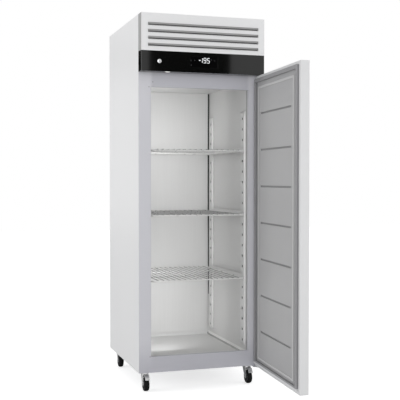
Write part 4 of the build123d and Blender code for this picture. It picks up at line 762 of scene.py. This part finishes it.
placed = put(shelf_tree, "GeometryNodeTransform", {
    "Geometry": welded.outputs["Geometry"], "Translation": given["Middle"]})
smooth = put(shelf_tree, "GeometryNodeSetShadeSmooth", {"Geometry": placed.outputs["Geometry"]})
close_tree(shelf_tree, given, smooth.outputs["Geometry"])


def on_deck(tree):
    """Give 1 on the deck wires."""
    return put(tree, "ShaderNodeAttribute", attribute_name="deck").outputs["Fac"]


coated_wire = finish("coated_wire", (0.84, 0.84, 0.83), 0.28, metallic=0.1, shade=0.06, patches=20.0)
# Painted shade: the deck wires are painted dark grey, much darker than the rim.
recolour(coated_wire, (0.30, 0.30, 0.30), (on_deck, 0.0, 1.0))
for tier in ("top", "middle", "bottom"):
    low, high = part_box(f"shelf_{tier}")
    shelf_middle = (0.0, (low.y + high.y) / 2, low.z + shelf_sizes["Rim Wire"] / 2)
    shelf = grow(shelf_tree, {"Width": high.x - low.x, "Depth": high.y - low.y, **shelf_sizes,
                              "Middle": shelf_middle, "Finish": coated_wire})
    settle(f"wire_shelf_{tier}", shelf, coated_wire, f"shelf_{tier}", "coated_wire", f"shelf_{tier}")

# Control panel: a glossy black moulding across the front, with its dark display window, a round
# white lens and a dark switch in its floor, and the electronics box clipped behind it.
lens_drop = 0.0026
lens_spread = (1.5, 0.5, 1, 1)
lens_rings = [(0, -lens_drop), (0.0035, -lens_drop * 0.94), (0.0065, -lens_drop * 0.72),
              (0.0085, -lens_drop * 0.38), (0.0092, 0), (0.0092, 0.0018), (0, 0.0018)]
black_moulding = finish("black_moulding", (0.004, 0.0042, 0.004), 0.06, shade=0.2, patches=3.0,
                        grain=250.0, height=0.0000005, spread=0.02)
dress("black_panel", "control_panel", black_moulding, "cabinet", "black_panel", 0.0007)
display_lens = finish("display_lens", (0.002, 0.002, 0.0022), 0.12, shade=0.1, grain=200.0,
                      height=0.000001, spread=0.02, on_shader={"Specular IOR Level": 0.12})
coat_nodes(display_lens, "display_window")
box_plastic = finish("box_plastic", (0.045, 0.045, 0.045), 0.55, shade=0.1, grain=900.0, height=0.00004)
for node in ("controller_module", "door_switch", "cable_gland"):
    dress(f"moulded_{node}", node, box_plastic, "cabinet", "module_plastic", 0.0005)
# The lens glows faintly, as its lamp is lit with the door open; the glow also serves as painted light,
# lifting it out of the shade under the panel.
white_lens = finish("white_lens", (0.86, 0.86, 0.84), 0.2, shade=0.04, on_shader={
    "Emission Color": (1.0, 0.99, 0.96, 1), "Emission Strength": 0.45})
dress("lens_body", "lamp_lens", white_lens, "cabinet", "lamp_white", 0.0003)
lens_low, lens_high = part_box("lamp_lens")
lens_middle = ((lens_low.x + lens_high.x) / 2, (lens_low.y + lens_high.y) / 2, lens_low.z)
lens_dome = turned(lens_rings, sides=28)
lens_dome.transform(Matrix.Translation(lens_middle) @ Matrix.Diagonal(lens_spread))
settle("lens_dome", lens_dome, white_lens, "cabinet", "lamp_white")

# Display figures: lit white digits behind the lens, each built from up to seven short bars, with a
# minus sign, a point and a few small dim marks beside them.
digit_height = 0.0255
digit_width = 0.0124
digit_step = 0.0198
bar_width = 0.0021
bar_gap = 0.0005
bar_stand = 0.0002
digit_lean = 0.08
minus_reach = 0.42
minus_length = 0.75
minus_width = 1.3
point_width = 0.9
figures_middle = Vector((0.0042, 0, 1.7728))
digit_bars = {"1": "bc", "9": "abcdfg", "5": "acdfg"}
bar_places = {"a": (0, 0.5, True), "b": (0.5, 0.25, False), "c": (0.5, -0.25, False),
              "d": (0, -0.5, True), "f": (-0.5, 0.25, False), "g": (0, 0, True)}
mark_places = ((-0.0726, 1.7706), (-0.0516, 1.7706), (-0.071, 1.745), (0.0398, 1.777), (0.058, 1.773))
mark_lines = ((0, 0.004, 0.0018), (0.0035, 0.002, 0.0016))
window_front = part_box("display_window")[0].y


def bar(shape, centre, along, width, lean=0.0):
    """Add one thin bar with pointed ends on the display's face."""
    half = along / 2
    run = along.normalized()
    side = Vector((-run.z, 0, run.x)) * width / 2
    tip = half - run * width / 2
    spots = [centre + end for end in (-half, -tip - side, tip - side, half, tip + side, side - tip)]
    prism(shape, *([(spot.x + lean * (spot.z - figures_middle.z), y, spot.z) for spot in spots]
                   for y in (window_front - bar_stand, window_front)))


def lit(name, colour, strength):
    """Make a lamp-lit face whose brightness varies a little."""
    made, tree, shader = new_material(name, {
        "Base Color": (0.02, 0.02, 0.02, 1), "Roughness": 0.3, "Emission Strength": strength})
    here = put(tree, "ShaderNodeTexCoord").outputs["Object"]
    glow = put(tree, "ShaderNodeTexNoise", {"Vector": here, "Scale": 220.0})
    ramp = put(tree, "ShaderNodeValToRGB", {"Fac": glow.outputs["Fac"]})
    ramp.color_ramp.elements[0].color = (*[part * 0.82 for part in colour], 1)
    ramp.color_ramp.elements[1].color = (*colour, 1)
    tree.links.new(ramp.outputs["Color"], shader.inputs["Emission Color"])
    return made


bars = bmesh.new()
pen = figures_middle.x - digit_step
bar(bars, Vector((pen - minus_reach * digit_step, 0, figures_middle.z)),
    Vector((digit_width * minus_length, 0, 0)), bar_width * minus_width, digit_lean)
for digit in "195":
    for letter in digit_bars[digit]:
        across, up, level_bar = bar_places[letter]
        centre = Vector((pen + across * digit_width, 0, figures_middle.z + up * digit_height))
        length = (digit_width if level_bar else digit_height / 2) - 2 * bar_gap
        along = Vector((length, 0, 0)) if level_bar else Vector((0, 0, length))
        bar(bars, centre, along, bar_width, digit_lean)
    pen += digit_step
bar(bars, figures_middle + Vector((digit_step / 2, 0, -digit_height / 2)),
    Vector((bar_width, 0, 0)), bar_width * point_width, digit_lean)
settle("display_digits", make_mesh(bars), lit("digit_white", (0.95, 0.97, 1.0), 1.7), "cabinet",
       "display_lens")
marks = bmesh.new()
for x, z in mark_places:
    for rise, length, width in mark_lines:
        bar(marks, Vector((x, 0, z + rise)), Vector((length, 0, 0)), width)
settle("display_marks", make_mesh(marks), lit("mark_grey", (0.9, 0.93, 1.0), 0.12), "cabinet",
       "display_lens")

# Lock and hinge irons: a bright plated barrel in a rounded bezel, held by a nut behind the panel,
# with the turning plug and its key slot, and the plated brackets that carry the door's pins.
lock_low, lock_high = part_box("lock_cylinder")
lock_middle = ((lock_low.x + lock_high.x) / 2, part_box("control_panel")[0].y, (lock_low.z + lock_high.z) / 2)
zinc_plate = finish("zinc_plate", (0.78, 0.79, 0.8), 0.22, metallic=0.85, shade=0.12, patches=60.0,
                    spread=0.1)
bezel_rings = [(0.00615, -0.0016), (0.0066, -0.0020), (0.0086, -0.0020), (0.0102, -0.0014),
               (0.0109, -0.0004), (0.011, 0.0), (0.009, 0.0), (0.0088, 0.0246), (0.00615, 0.0246)]
nut_rings = [(0.0088, 0.0031), (0.0128, 0.0031), (0.0128, 0.0068), (0.0088, 0.0068)]
barrel = joined(turned(bezel_rings, lock_middle, "Y", 40, True), turned(nut_rings, lock_middle, "Y", 6, True))
settle("lock_barrel", barrel, zinc_plate, "cabinet", "zinc", "lock_cylinder")
dress("key_plug", "lock_plug", zinc_plate, "lock", "zinc", 0.0004)
dress("hinge_irons", "hinge_brackets", zinc_plate, "cabinet", "zinc", 0.0008)

# Screws: countersunk heads with a driver's dimple, flush in the rear sheets along both flanges.
# Five hold each side of the back panel and two each side of the grille.
screw_rings = [(0, -0.0009), (0.0009, -0.0007), (0.0016, -0.00025), (0.0019, -0.0001), (0.0036, 0.0),
               (0.0039, -0.0001), (0.0031, -0.001), (0, -0.001)]
screw_margin = 0.030
screw_inset = 0.010
screw_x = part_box("rear_panel")[1].x - screw_inset
screws = []
for node, count in (("rear_panel", 5), ("rear_grille", 2)):
    low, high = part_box(node)
    pitch = (high.z - low.z - 2 * screw_margin) / (count - 1)
    start = (-screw_x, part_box("rear_panel")[1].y, low.z + screw_margin)
    screws.append(in_rows(turned(screw_rings, axis="Y", sides=16), zinc_plate,
                          (count, start, (0, 0, pitch)), (2, (0, 0, 0), (2 * screw_x, 0, 0))))
settle("sheet_screws", joined(*screws), zinc_plate, "cabinet", "zinc", "cabinet_screws")

# Door liner: a thermoformed grey sheet with a raised bead round its field, seven pressed grooves
# and soft bends, and a fine leathery grain. The bead carries a painted highlight and the grooves
# painted shade. Outside the gasket it has a pale flange.
liner_bend = (0.0016, 3, 20.0)
door_rest = radians(86.5)
hinge_place = Vector((0.327, -0.400, 0))
bead_highlight_level = (0.0232, 0.0242)
groove_shade_level = (0.0206, 0.0190)
flange_width = 0.0165
field_inset = 0.06
sheet_normal = Vector((-sin(door_rest), cos(door_rest), 0))
sheet_low, sheet_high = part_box("door_liner")
door_plastic = finish("door_liner_sheet", (0.425, 0.425, 0.43), 0.4, shade=0.05, patches=3.0,
                      grain=1400.0, height=0.00003)


def sheet_depth(tree):
    """Give how far a point of the door's inner sheet stands out from the hinge's plane."""
    here = put(tree, "ShaderNodeTexCoord").outputs["Object"]
    along = put(tree, "ShaderNodeVectorMath", {0: here, 1: sheet_normal}, operation="DOT_PRODUCT")
    return maths(tree, "SUBTRACT", along.outputs["Value"], hinge_place.dot(sheet_normal))


def within(tree, inset):
    """Give 1 on the sheet but for a border of this width."""
    here = put(tree, "ShaderNodeTexCoord").outputs["Object"]
    parts = put(tree, "ShaderNodeSeparateXYZ", {0: here}).outputs
    middle = (sheet_low + sheet_high) / 2
    half = (sheet_high - sheet_low) / 2
    return maths(tree, "MULTIPLY", maths(tree, "COMPARE", parts["Y"], middle.y, half.y - inset),
                 maths(tree, "COMPARE", parts["Z"], middle.z, half.z - inset))


# Painted highlight on the raised bead and painted shade in the grooves of the field.
recolour(door_plastic, (0.56, 0.56, 0.56), (sheet_depth, *bead_highlight_level))
recolour(door_plastic, (0.22, 0.22, 0.225), (lambda tree: within(tree, field_inset), 0.0, 1.0),
         (sheet_depth, *groove_shade_level))
recolour(door_plastic, (0.76, 0.76, 0.77), (lambda tree: within(tree, flange_width), 1.0, 0.0))
dress("door_inner_sheet", "door_liner", door_plastic, "door", "door_liner_plastic", *liner_bend)

# Door gasket: a soft grey extrusion with a magnet strip, pressed into the liner's channel and
# mitred at the corners. Its lowest lip is pale, like the flange that it covers.
gasket_lip = (0.012, 0.010)
gasket_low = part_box("door_gasket")[0].z
gasket_soft = finish("gasket_soft", (0.30, 0.30, 0.31), 0.62, shade=0.06, patches=12.0, grain=1200.0)
recolour(gasket_soft, (0.68, 0.68, 0.69), ("Z", *(gasket_low + rise for rise in gasket_lip)))
dress("magnet_gasket", "door_gasket", gasket_soft, "door", "gasket_grey", 0.0009)

# Door handle and bushes: a grey moulded scoop let into the door's outer face, and the white
# bearing sleeves that turn on the hinge pins.
handle_plastic = finish("handle_plastic", (0.24, 0.25, 0.27), 0.45, shade=0.08, grain=1100.0,
                        height=0.00005)
dress("scoop_handle", "door_handle", handle_plastic, "door", "handle_grey", 0.0006, 3)
bush_plastic = finish("bush_plastic", (0.7, 0.7, 0.68), 0.5)
dress("bearing_bushes", "hinge_bushes", bush_plastic, "door", "bush_plastic", 0.0005)

# Insulation: rigid foam, cream coloured and finely cellular, in the body, the door and the
# evaporator's housing. It lies behind the sheets.
cream_foam = finish("cream_foam", (0.82, 0.77, 0.6), 0.85, shade=0.12, patches=9.0, grain=420.0,
                    height=0.0003)
coat_nodes(cream_foam, "foam_body", "door_foam")
dress("foam_housing", "evaporator_housing", cream_foam, "cabinet", "foam", 0.002)

# Casters: pressed steel plates, forks and brake pedals with a bright zinc plate, hexagon bolts on
# washers, and black wheels with a rubber tyre round a ribbed hub.
tyre_rings = [(0.0262, -0.0118), (0.0300, -0.0131), (0.0332, -0.0128), (0.0354, -0.0108),
              (0.0368, -0.0072), (0.0374, -0.0034), (0.0375, 0), (0.0374, 0.0034), (0.0368, 0.0072),
              (0.0354, 0.0108), (0.0332, 0.0128), (0.0300, 0.0131), (0.0262, 0.0118)]
hub_rings = [(0.00405, -0.0134), (0.0085, -0.0134), (0.0105, -0.0126), (0.0110, -0.0040),
             (0.0238, -0.0040), (0.0246, -0.0112), (0.0262, -0.0116), (0.0262, 0.0116),
             (0.0246, 0.0112), (0.0238, 0.0040), (0.0110, 0.0040), (0.0105, 0.0126),
             (0.0085, 0.0134), (0.00405, 0.0134)]
rib_box = ((-0.0108, -0.0009, 0.0106), (0.0108, 0.0009, 0.0242))
rib_count = 8
bolt_step = (0.052, 0.042)
bolt_half = 0.0055
washer_sheet = 0.0008
head_rings = [(0, -0.0045), (0.0042, -0.0045), (0.0054, -0.0040), (0.0054, -washer_sheet),
              (0, -washer_sheet)]
washer_rings = [(0, -washer_sheet), (0.0064, -washer_sheet), (0.0066, -washer_sheet / 2),
                (0.0066, 0), (0, 0)]
caster_steel = finish("caster_steel", (0.66, 0.66, 0.665), 0.28, metallic=0.75, shade=0.15,
                      patches=45.0, spread=0.14)
tyre_black = finish("tyre_black", (0.006, 0.006, 0.006), 0.7, shade=0.4, patches=60.0, spread=0.2,
                    grain=1400.0, height=0.00005, on_shader={"Specular IOR Level": 0.15})
hub_black = finish("hub_black", (0.055, 0.055, 0.058), 0.42, shade=0.2, patches=40.0)

ring_tree, given = start_tree("ring_of_pieces", {
    "Count": 5, "Axis": (0.0, 1.0, 0.0), "Middle": (0.0, 0.0, 0.0)})
turn_points = put(ring_tree, "GeometryNodePoints", {"Count": given["Count"]})
step_angle = maths(ring_tree, "DIVIDE", 2 * pi, given["Count"])
angle_here = maths(ring_tree, "MULTIPLY", put(ring_tree, "GeometryNodeInputIndex").outputs[0], step_angle)
turn_here = put(ring_tree, "ShaderNodeVectorMath", {0: given["Axis"], "Scale": angle_here},
                operation="SCALE")
copies = put(ring_tree, "GeometryNodeInstanceOnPoints", {
    "Points": turn_points.outputs[0], "Instance": given["Geometry"],
    "Rotation": turn_here.outputs["Vector"]})
placed = put(ring_tree, "GeometryNodeTransform", {
    "Geometry": copies.outputs["Instances"], "Translation": given["Middle"]})
close_tree(ring_tree, given, placed.outputs["Geometry"])


def in_ring(mesh, material, count, axis, middle):
    """Repeat a mesh round an axis."""
    return grow(ring_tree, {"Count": count, "Axis": axis, "Middle": middle, "Finish": material}, mesh)


for name in ("front_left", "front_right", "rear_left", "rear_right"):
    wheel = f"caster_wheel_{name}"
    low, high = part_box(wheel)
    middle = (low + high) / 2
    settle(f"tyre_{name}", turned(tyre_rings, middle, "X", 48, True), tyre_black, f"wheel_{name}",
           "wheel_black", wheel)
    ribs = in_ring(slab(*rib_box), hub_black, rib_count, (1, 0, 0), middle)
    settle(f"hub_{name}", joined(turned(hub_rings, middle, "X", 40, True), ribs), hub_black,
           f"wheel_{name}", "wheel_black", wheel)
    dress(f"fork_{name}", f"caster_fork_{name}", caster_steel, f"fork_{name}", "caster_steel", 0.0009, 3)
for name in ("front_left", "front_right"):
    dress(f"pedal_{name}", f"brake_lever_{name}", caster_steel, f"brake_{name}", "caster_steel", 0.0007, 3)
dress("top_plates", "caster_plates", caster_steel, "cabinet", "caster_steel", 0.0008)

bolt_low, bolt_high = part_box("caster_bolts")
bolt_reach = bolt_half * cos(radians(30))
bolt_start = (bolt_low.x + bolt_half, bolt_low.y + bolt_reach, bolt_high.z)
bolt_spread = (bolt_high.x - bolt_low.x - 2 * bolt_half - bolt_step[0],
               bolt_high.y - bolt_low.y - 2 * bolt_reach - bolt_step[1])
bolt = joined(turned(head_rings, sides=6), turned(washer_rings, sides=20))
bolts = in_rows(bolt, zinc_plate, (2, bolt_start, (bolt_step[0], 0, 0)),
                (2, (0, 0, 0), (0, bolt_step[1], 0)), (2, (0, 0, 0), (bolt_spread[0], 0, 0)),
                (2, (0, 0, 0), (0, bolt_spread[1], 0)))
settle("plate_bolts", bolts, zinc_plate, "cabinet", "zinc", "caster_bolts")

# Compressor: a drawn black can with a welded seam and a terminal cover, on a foot plate that
# stands on four ribbed rubber grommets.
can_middle = (0.205, -0.225, 1.847)
seam_rings = [(0.0796, -0.0034), (0.0816, -0.0026), (0.0824, -0.0010), (0.0826, 0.0006),
              (0.0818, 0.0026), (0.0796, 0.0032)]
grommet_radius = 0.013
grommet_rings = [(0, 0), (0.0118, 0), (0.0126, 0.0012), (0.0126, 0.0042), (0.0098, 0.0056),
                 (0.0098, 0.0078), (0.0122, 0.0092), (0.0122, 0.0138), (0.0112, 0.015), (0, 0.015)]
black_enamel = finish("black_enamel", (0.018, 0.018, 0.018), 0.3, shade=0.2, patches=14.0,
                      on_shader={"Coat Weight": 0.2})
dress("compressor_can", "compressor", black_enamel, "cabinet", "compressor_black", 0.0022, 3, 24.0)
settle("weld_seam", turned(seam_rings, can_middle, "Z", 64, True), black_enamel, "cabinet",
       "compressor_black")
black_rubber = finish("black_rubber", (0.025, 0.025, 0.025), 0.8, shade=0.2, patches=30.0)
low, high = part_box("compressor_mounts")
grommet_inset = grommet_radius * cos(radians(30))
grommets = in_rows(turned(grommet_rings, sides=24), black_rubber,
                   (2, (low.x + grommet_radius, low.y + grommet_inset, low.z),
                    (high.x - low.x - 2 * grommet_radius, 0, 0)),
                   (2, (0, 0, 0), (0, high.y - low.y - 2 * grommet_inset, 0)))
settle("rubber_grommets", grommets, black_rubber, "cabinet", "grommet_rubber", "compressor_mounts")

# Coils: stacks of thin aluminium fins between steel end plates, on copper tubes whose hairpin
# bends show past the plates.
tube_radius = 0.0045
bend_reach = 0.012
bend_share = 0.9
end_plate = 0.0012
fin_sheet = 0.0004
tube_gap = 0.025
bare_copper = finish("bare_copper", (0.72, 0.36, 0.2), 0.32, metallic=1.0, shade=0.35, patches=25.0,
                     spread=0.2)
coil_fins = rolled("coil_fins", (0.62, 0.63, 0.64), 0.4, 0.9, depth=0.3, across=900.0, along=2.0,
                   height=0.0001)

tube_tree, given = start_tree("bent_tube", {"Diameter": 0.008, "Bend": 0.02})
tube_line = put(tube_tree, "GeometryNodeMeshToCurve", {"Mesh": given["Geometry"]})
tube_bent = put(tube_tree, "GeometryNodeFilletCurve", {
    "Curve": tube_line.outputs["Curve"], "Count": 7, "Radius": given["Bend"], "Limit Radius": True},
    mode="POLY")
tube_round = put(tube_tree, "GeometryNodeSetShadeSmooth",
                 {"Geometry": wire(tube_tree, tube_bent.outputs["Curve"], given["Diameter"])})
close_tree(tube_tree, given, tube_round.outputs["Geometry"])


def tube(diameter, bend, *routes):
    """Make bent copper tubes along routes of straight runs."""
    corners = []
    edges = []
    for route in routes:
        edges += [(len(corners) + i, len(corners) + i + 1) for i in range(len(route) - 1)]
        corners += route
    line = bpy.data.meshes.new("line")
    line.from_pydata(corners, edges, [])
    return grow(tube_tree, {"Diameter": diameter, "Bend": bend, "Finish": bare_copper}, line)


def coil(name, fin_pitch, columns, tiers):
    """Make a finned coil that fills its node's box."""
    node = f"{name}_coil"
    low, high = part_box(node)
    left = low.x + bend_reach + tube_radius
    right = high.x - bend_reach - tube_radius
    fin = slab((left, low.y, low.z), (left + fin_sheet, high.y, high.z))
    fins = in_rows(fin, coil_fins,
                   (int((right - left) / fin_pitch), (fin_pitch, 0, 0), (fin_pitch, 0, 0)))
    settle(f"{name}_fins", fins, coil_fins, "cabinet", "fin_aluminium", node)
    plates = [slab((x, low.y, low.z), (x + end_plate, high.y, high.z))
              for x in (left, right - end_plate)]
    settle(f"{name}_plates", joined(*plates), galvanised, "cabinet", "fin_aluminium", node)
    tier_step = (high.z - low.z) / tiers
    column_step = (high.y - low.y) / columns
    bends = []
    for edge, hand in ((left + end_plate, -1), (right - end_plate, 1)):
        tip = edge + hand * (bend_reach + end_plate)
        hairpin = tube(2 * tube_radius, bend_reach * bend_share,
                       ((edge, 0, 0), (tip, 0, 0), (tip, 0, tube_gap), (edge, 0, tube_gap)))
        start = (0, low.y + column_step / 2, low.z + (tier_step - tube_gap) / 2)
        bends.append(in_rows(hairpin, bare_copper, (tiers, start, (0, 0, tier_step)),
                             (columns, (0, 0, 0), (0, column_step, 0))))
    settle(f"{name}_bends", joined(*bends), bare_copper, "cabinet", "copper", node)


coil("condenser", 0.0032, 2, 6)
coil("evaporator", 0.0052, 4, 5)

# Fans: black moulded wheels with five curved blades round a domed hub, each on its motor's shaft
# in a pressed shroud. A blade is steep and narrow at its root, and flatter and wider at its tip.
blade_count = 5
blade_steps = 7
blade_sheet = 0.0016
blade_camber = 0.0016
blade_root = 0.019
blade_share = 0.99
root_pitch = 40
pitch_loss = 18
root_half_chord = 0.011
chord_gain = 0.016
tip_loss = 0.18
fan_hub = 0.022
hub_half = 0.012
shaft_hole = 0.0032
hole_end = -0.004
hub_dome = [(0, -hub_half), (0.010, -0.0117), (0.0172, -0.0100), (0.0208, -0.0068),
            (fan_hub, -0.0030), (fan_hub, hub_half), (shaft_hole, hub_half), (shaft_hole, hole_end),
            (0, hole_end)]
fan_plastic = finish("fan_plastic", (0.03, 0.03, 0.032), 0.4, shade=0.12, patches=30.0)
for name in ("condenser_fan", "evaporator_fan"):
    low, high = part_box(f"{name}_blade")
    middle = (low + high) / 2
    radius = (high.z - low.z + high.x - low.x) / 4 * blade_share
    lines = []
    for i in range(blade_steps):
        out = i / (blade_steps - 1)
        reach = blade_root + (radius - blade_root) * out
        pitch = radians(root_pitch - pitch_loss * out)
        half_chord = (root_half_chord + chord_gain * out) * (1 - tip_loss * out**6)
        line = []
        for j in range(blade_steps):
            across = 2 * j / (blade_steps - 1) - 1
            z = half_chord * across * cos(pitch)
            y = half_chord * across * sin(pitch) + blade_camber * (1 - across**2)
            line.append(((reach**2 - z**2) ** 0.5, y, z))
        lines.append(line)
    shape = bmesh.new()
    ruled(shape, lines)
    vanes = show("vanes", in_ring(make_mesh(shape), fan_plastic, blade_count, (0, 1, 0), middle))
    thicken(vanes, blade_sheet, 0.0, False)
    blades = plain_mesh(vanes)
    bpy.data.objects.remove(vanes)
    settle(f"{name}_wheel", joined(blades, turned(hub_dome, middle, "Y", 32)), fan_plastic, name,
           "module_plastic", f"{name}_blade")
for node in ("condenser_fan_shroud", "evaporator_fan_shroud"):
    dress(f"pressed_{node}", node, black_enamel, "cabinet", "compressor_black", 0.0005)

# Refrigerant pipes: bare copper bent in wide elbows, with the brazed filter drier in the liquid
# line and the discharge pipe looped through the tray that takes the melt water.
pipe_diameter = 0.008
pipe_bend = 0.016
pipe_routes = (
    ((0.205, -0.145, 1.8795), (0.205, 0.085, 1.8795), (0.205, 0.085, 1.7483), (0.205, 0.305, 1.7483),
     (0.125, 0.305, 1.7483), (0.125, 0.085, 1.7483), (0.125, 0.085, 1.9045), (0.085, 0.085, 1.9045),
     (0.085, -0.3345, 1.9045), (0.030, -0.3345, 1.9045)),
    ((0.030, -0.3345, 1.7765), (0.072, -0.3345, 1.7765), (0.072, 0.060, 1.7765), (0.0437, 0.060, 1.7765)),
    ((0.0437, 0.060, 1.8615), (0.085, 0.060, 1.8615), (0.085, -0.225, 1.8615), (0.125, -0.225, 1.8615)),
)
drier_start = (0.072, -0.190, 1.7765)
drier_rings = [(0, 0), (0.0042, 0), (0.0046, 0.004), (0.0098, 0.014), (0.011, 0.020),
               (0.011, 0.075), (0.0098, 0.081), (0.0046, 0.091), (0.0042, 0.095), (0, 0.095)]
pipes = joined(tube(pipe_diameter, pipe_bend, *pipe_routes), turned(drier_rings, drier_start, "Y", 28))
settle("copper_pipes", pipes, bare_copper, "cabinet", "copper", "refrigerant_pipes")
tray_plastic = finish("tray_plastic", (0.08, 0.08, 0.08), 0.5, shade=0.15)
dress("melt_tray", "condensate_pan", tray_plastic, "cabinet", "pan_plastic", 0.0009, 3)
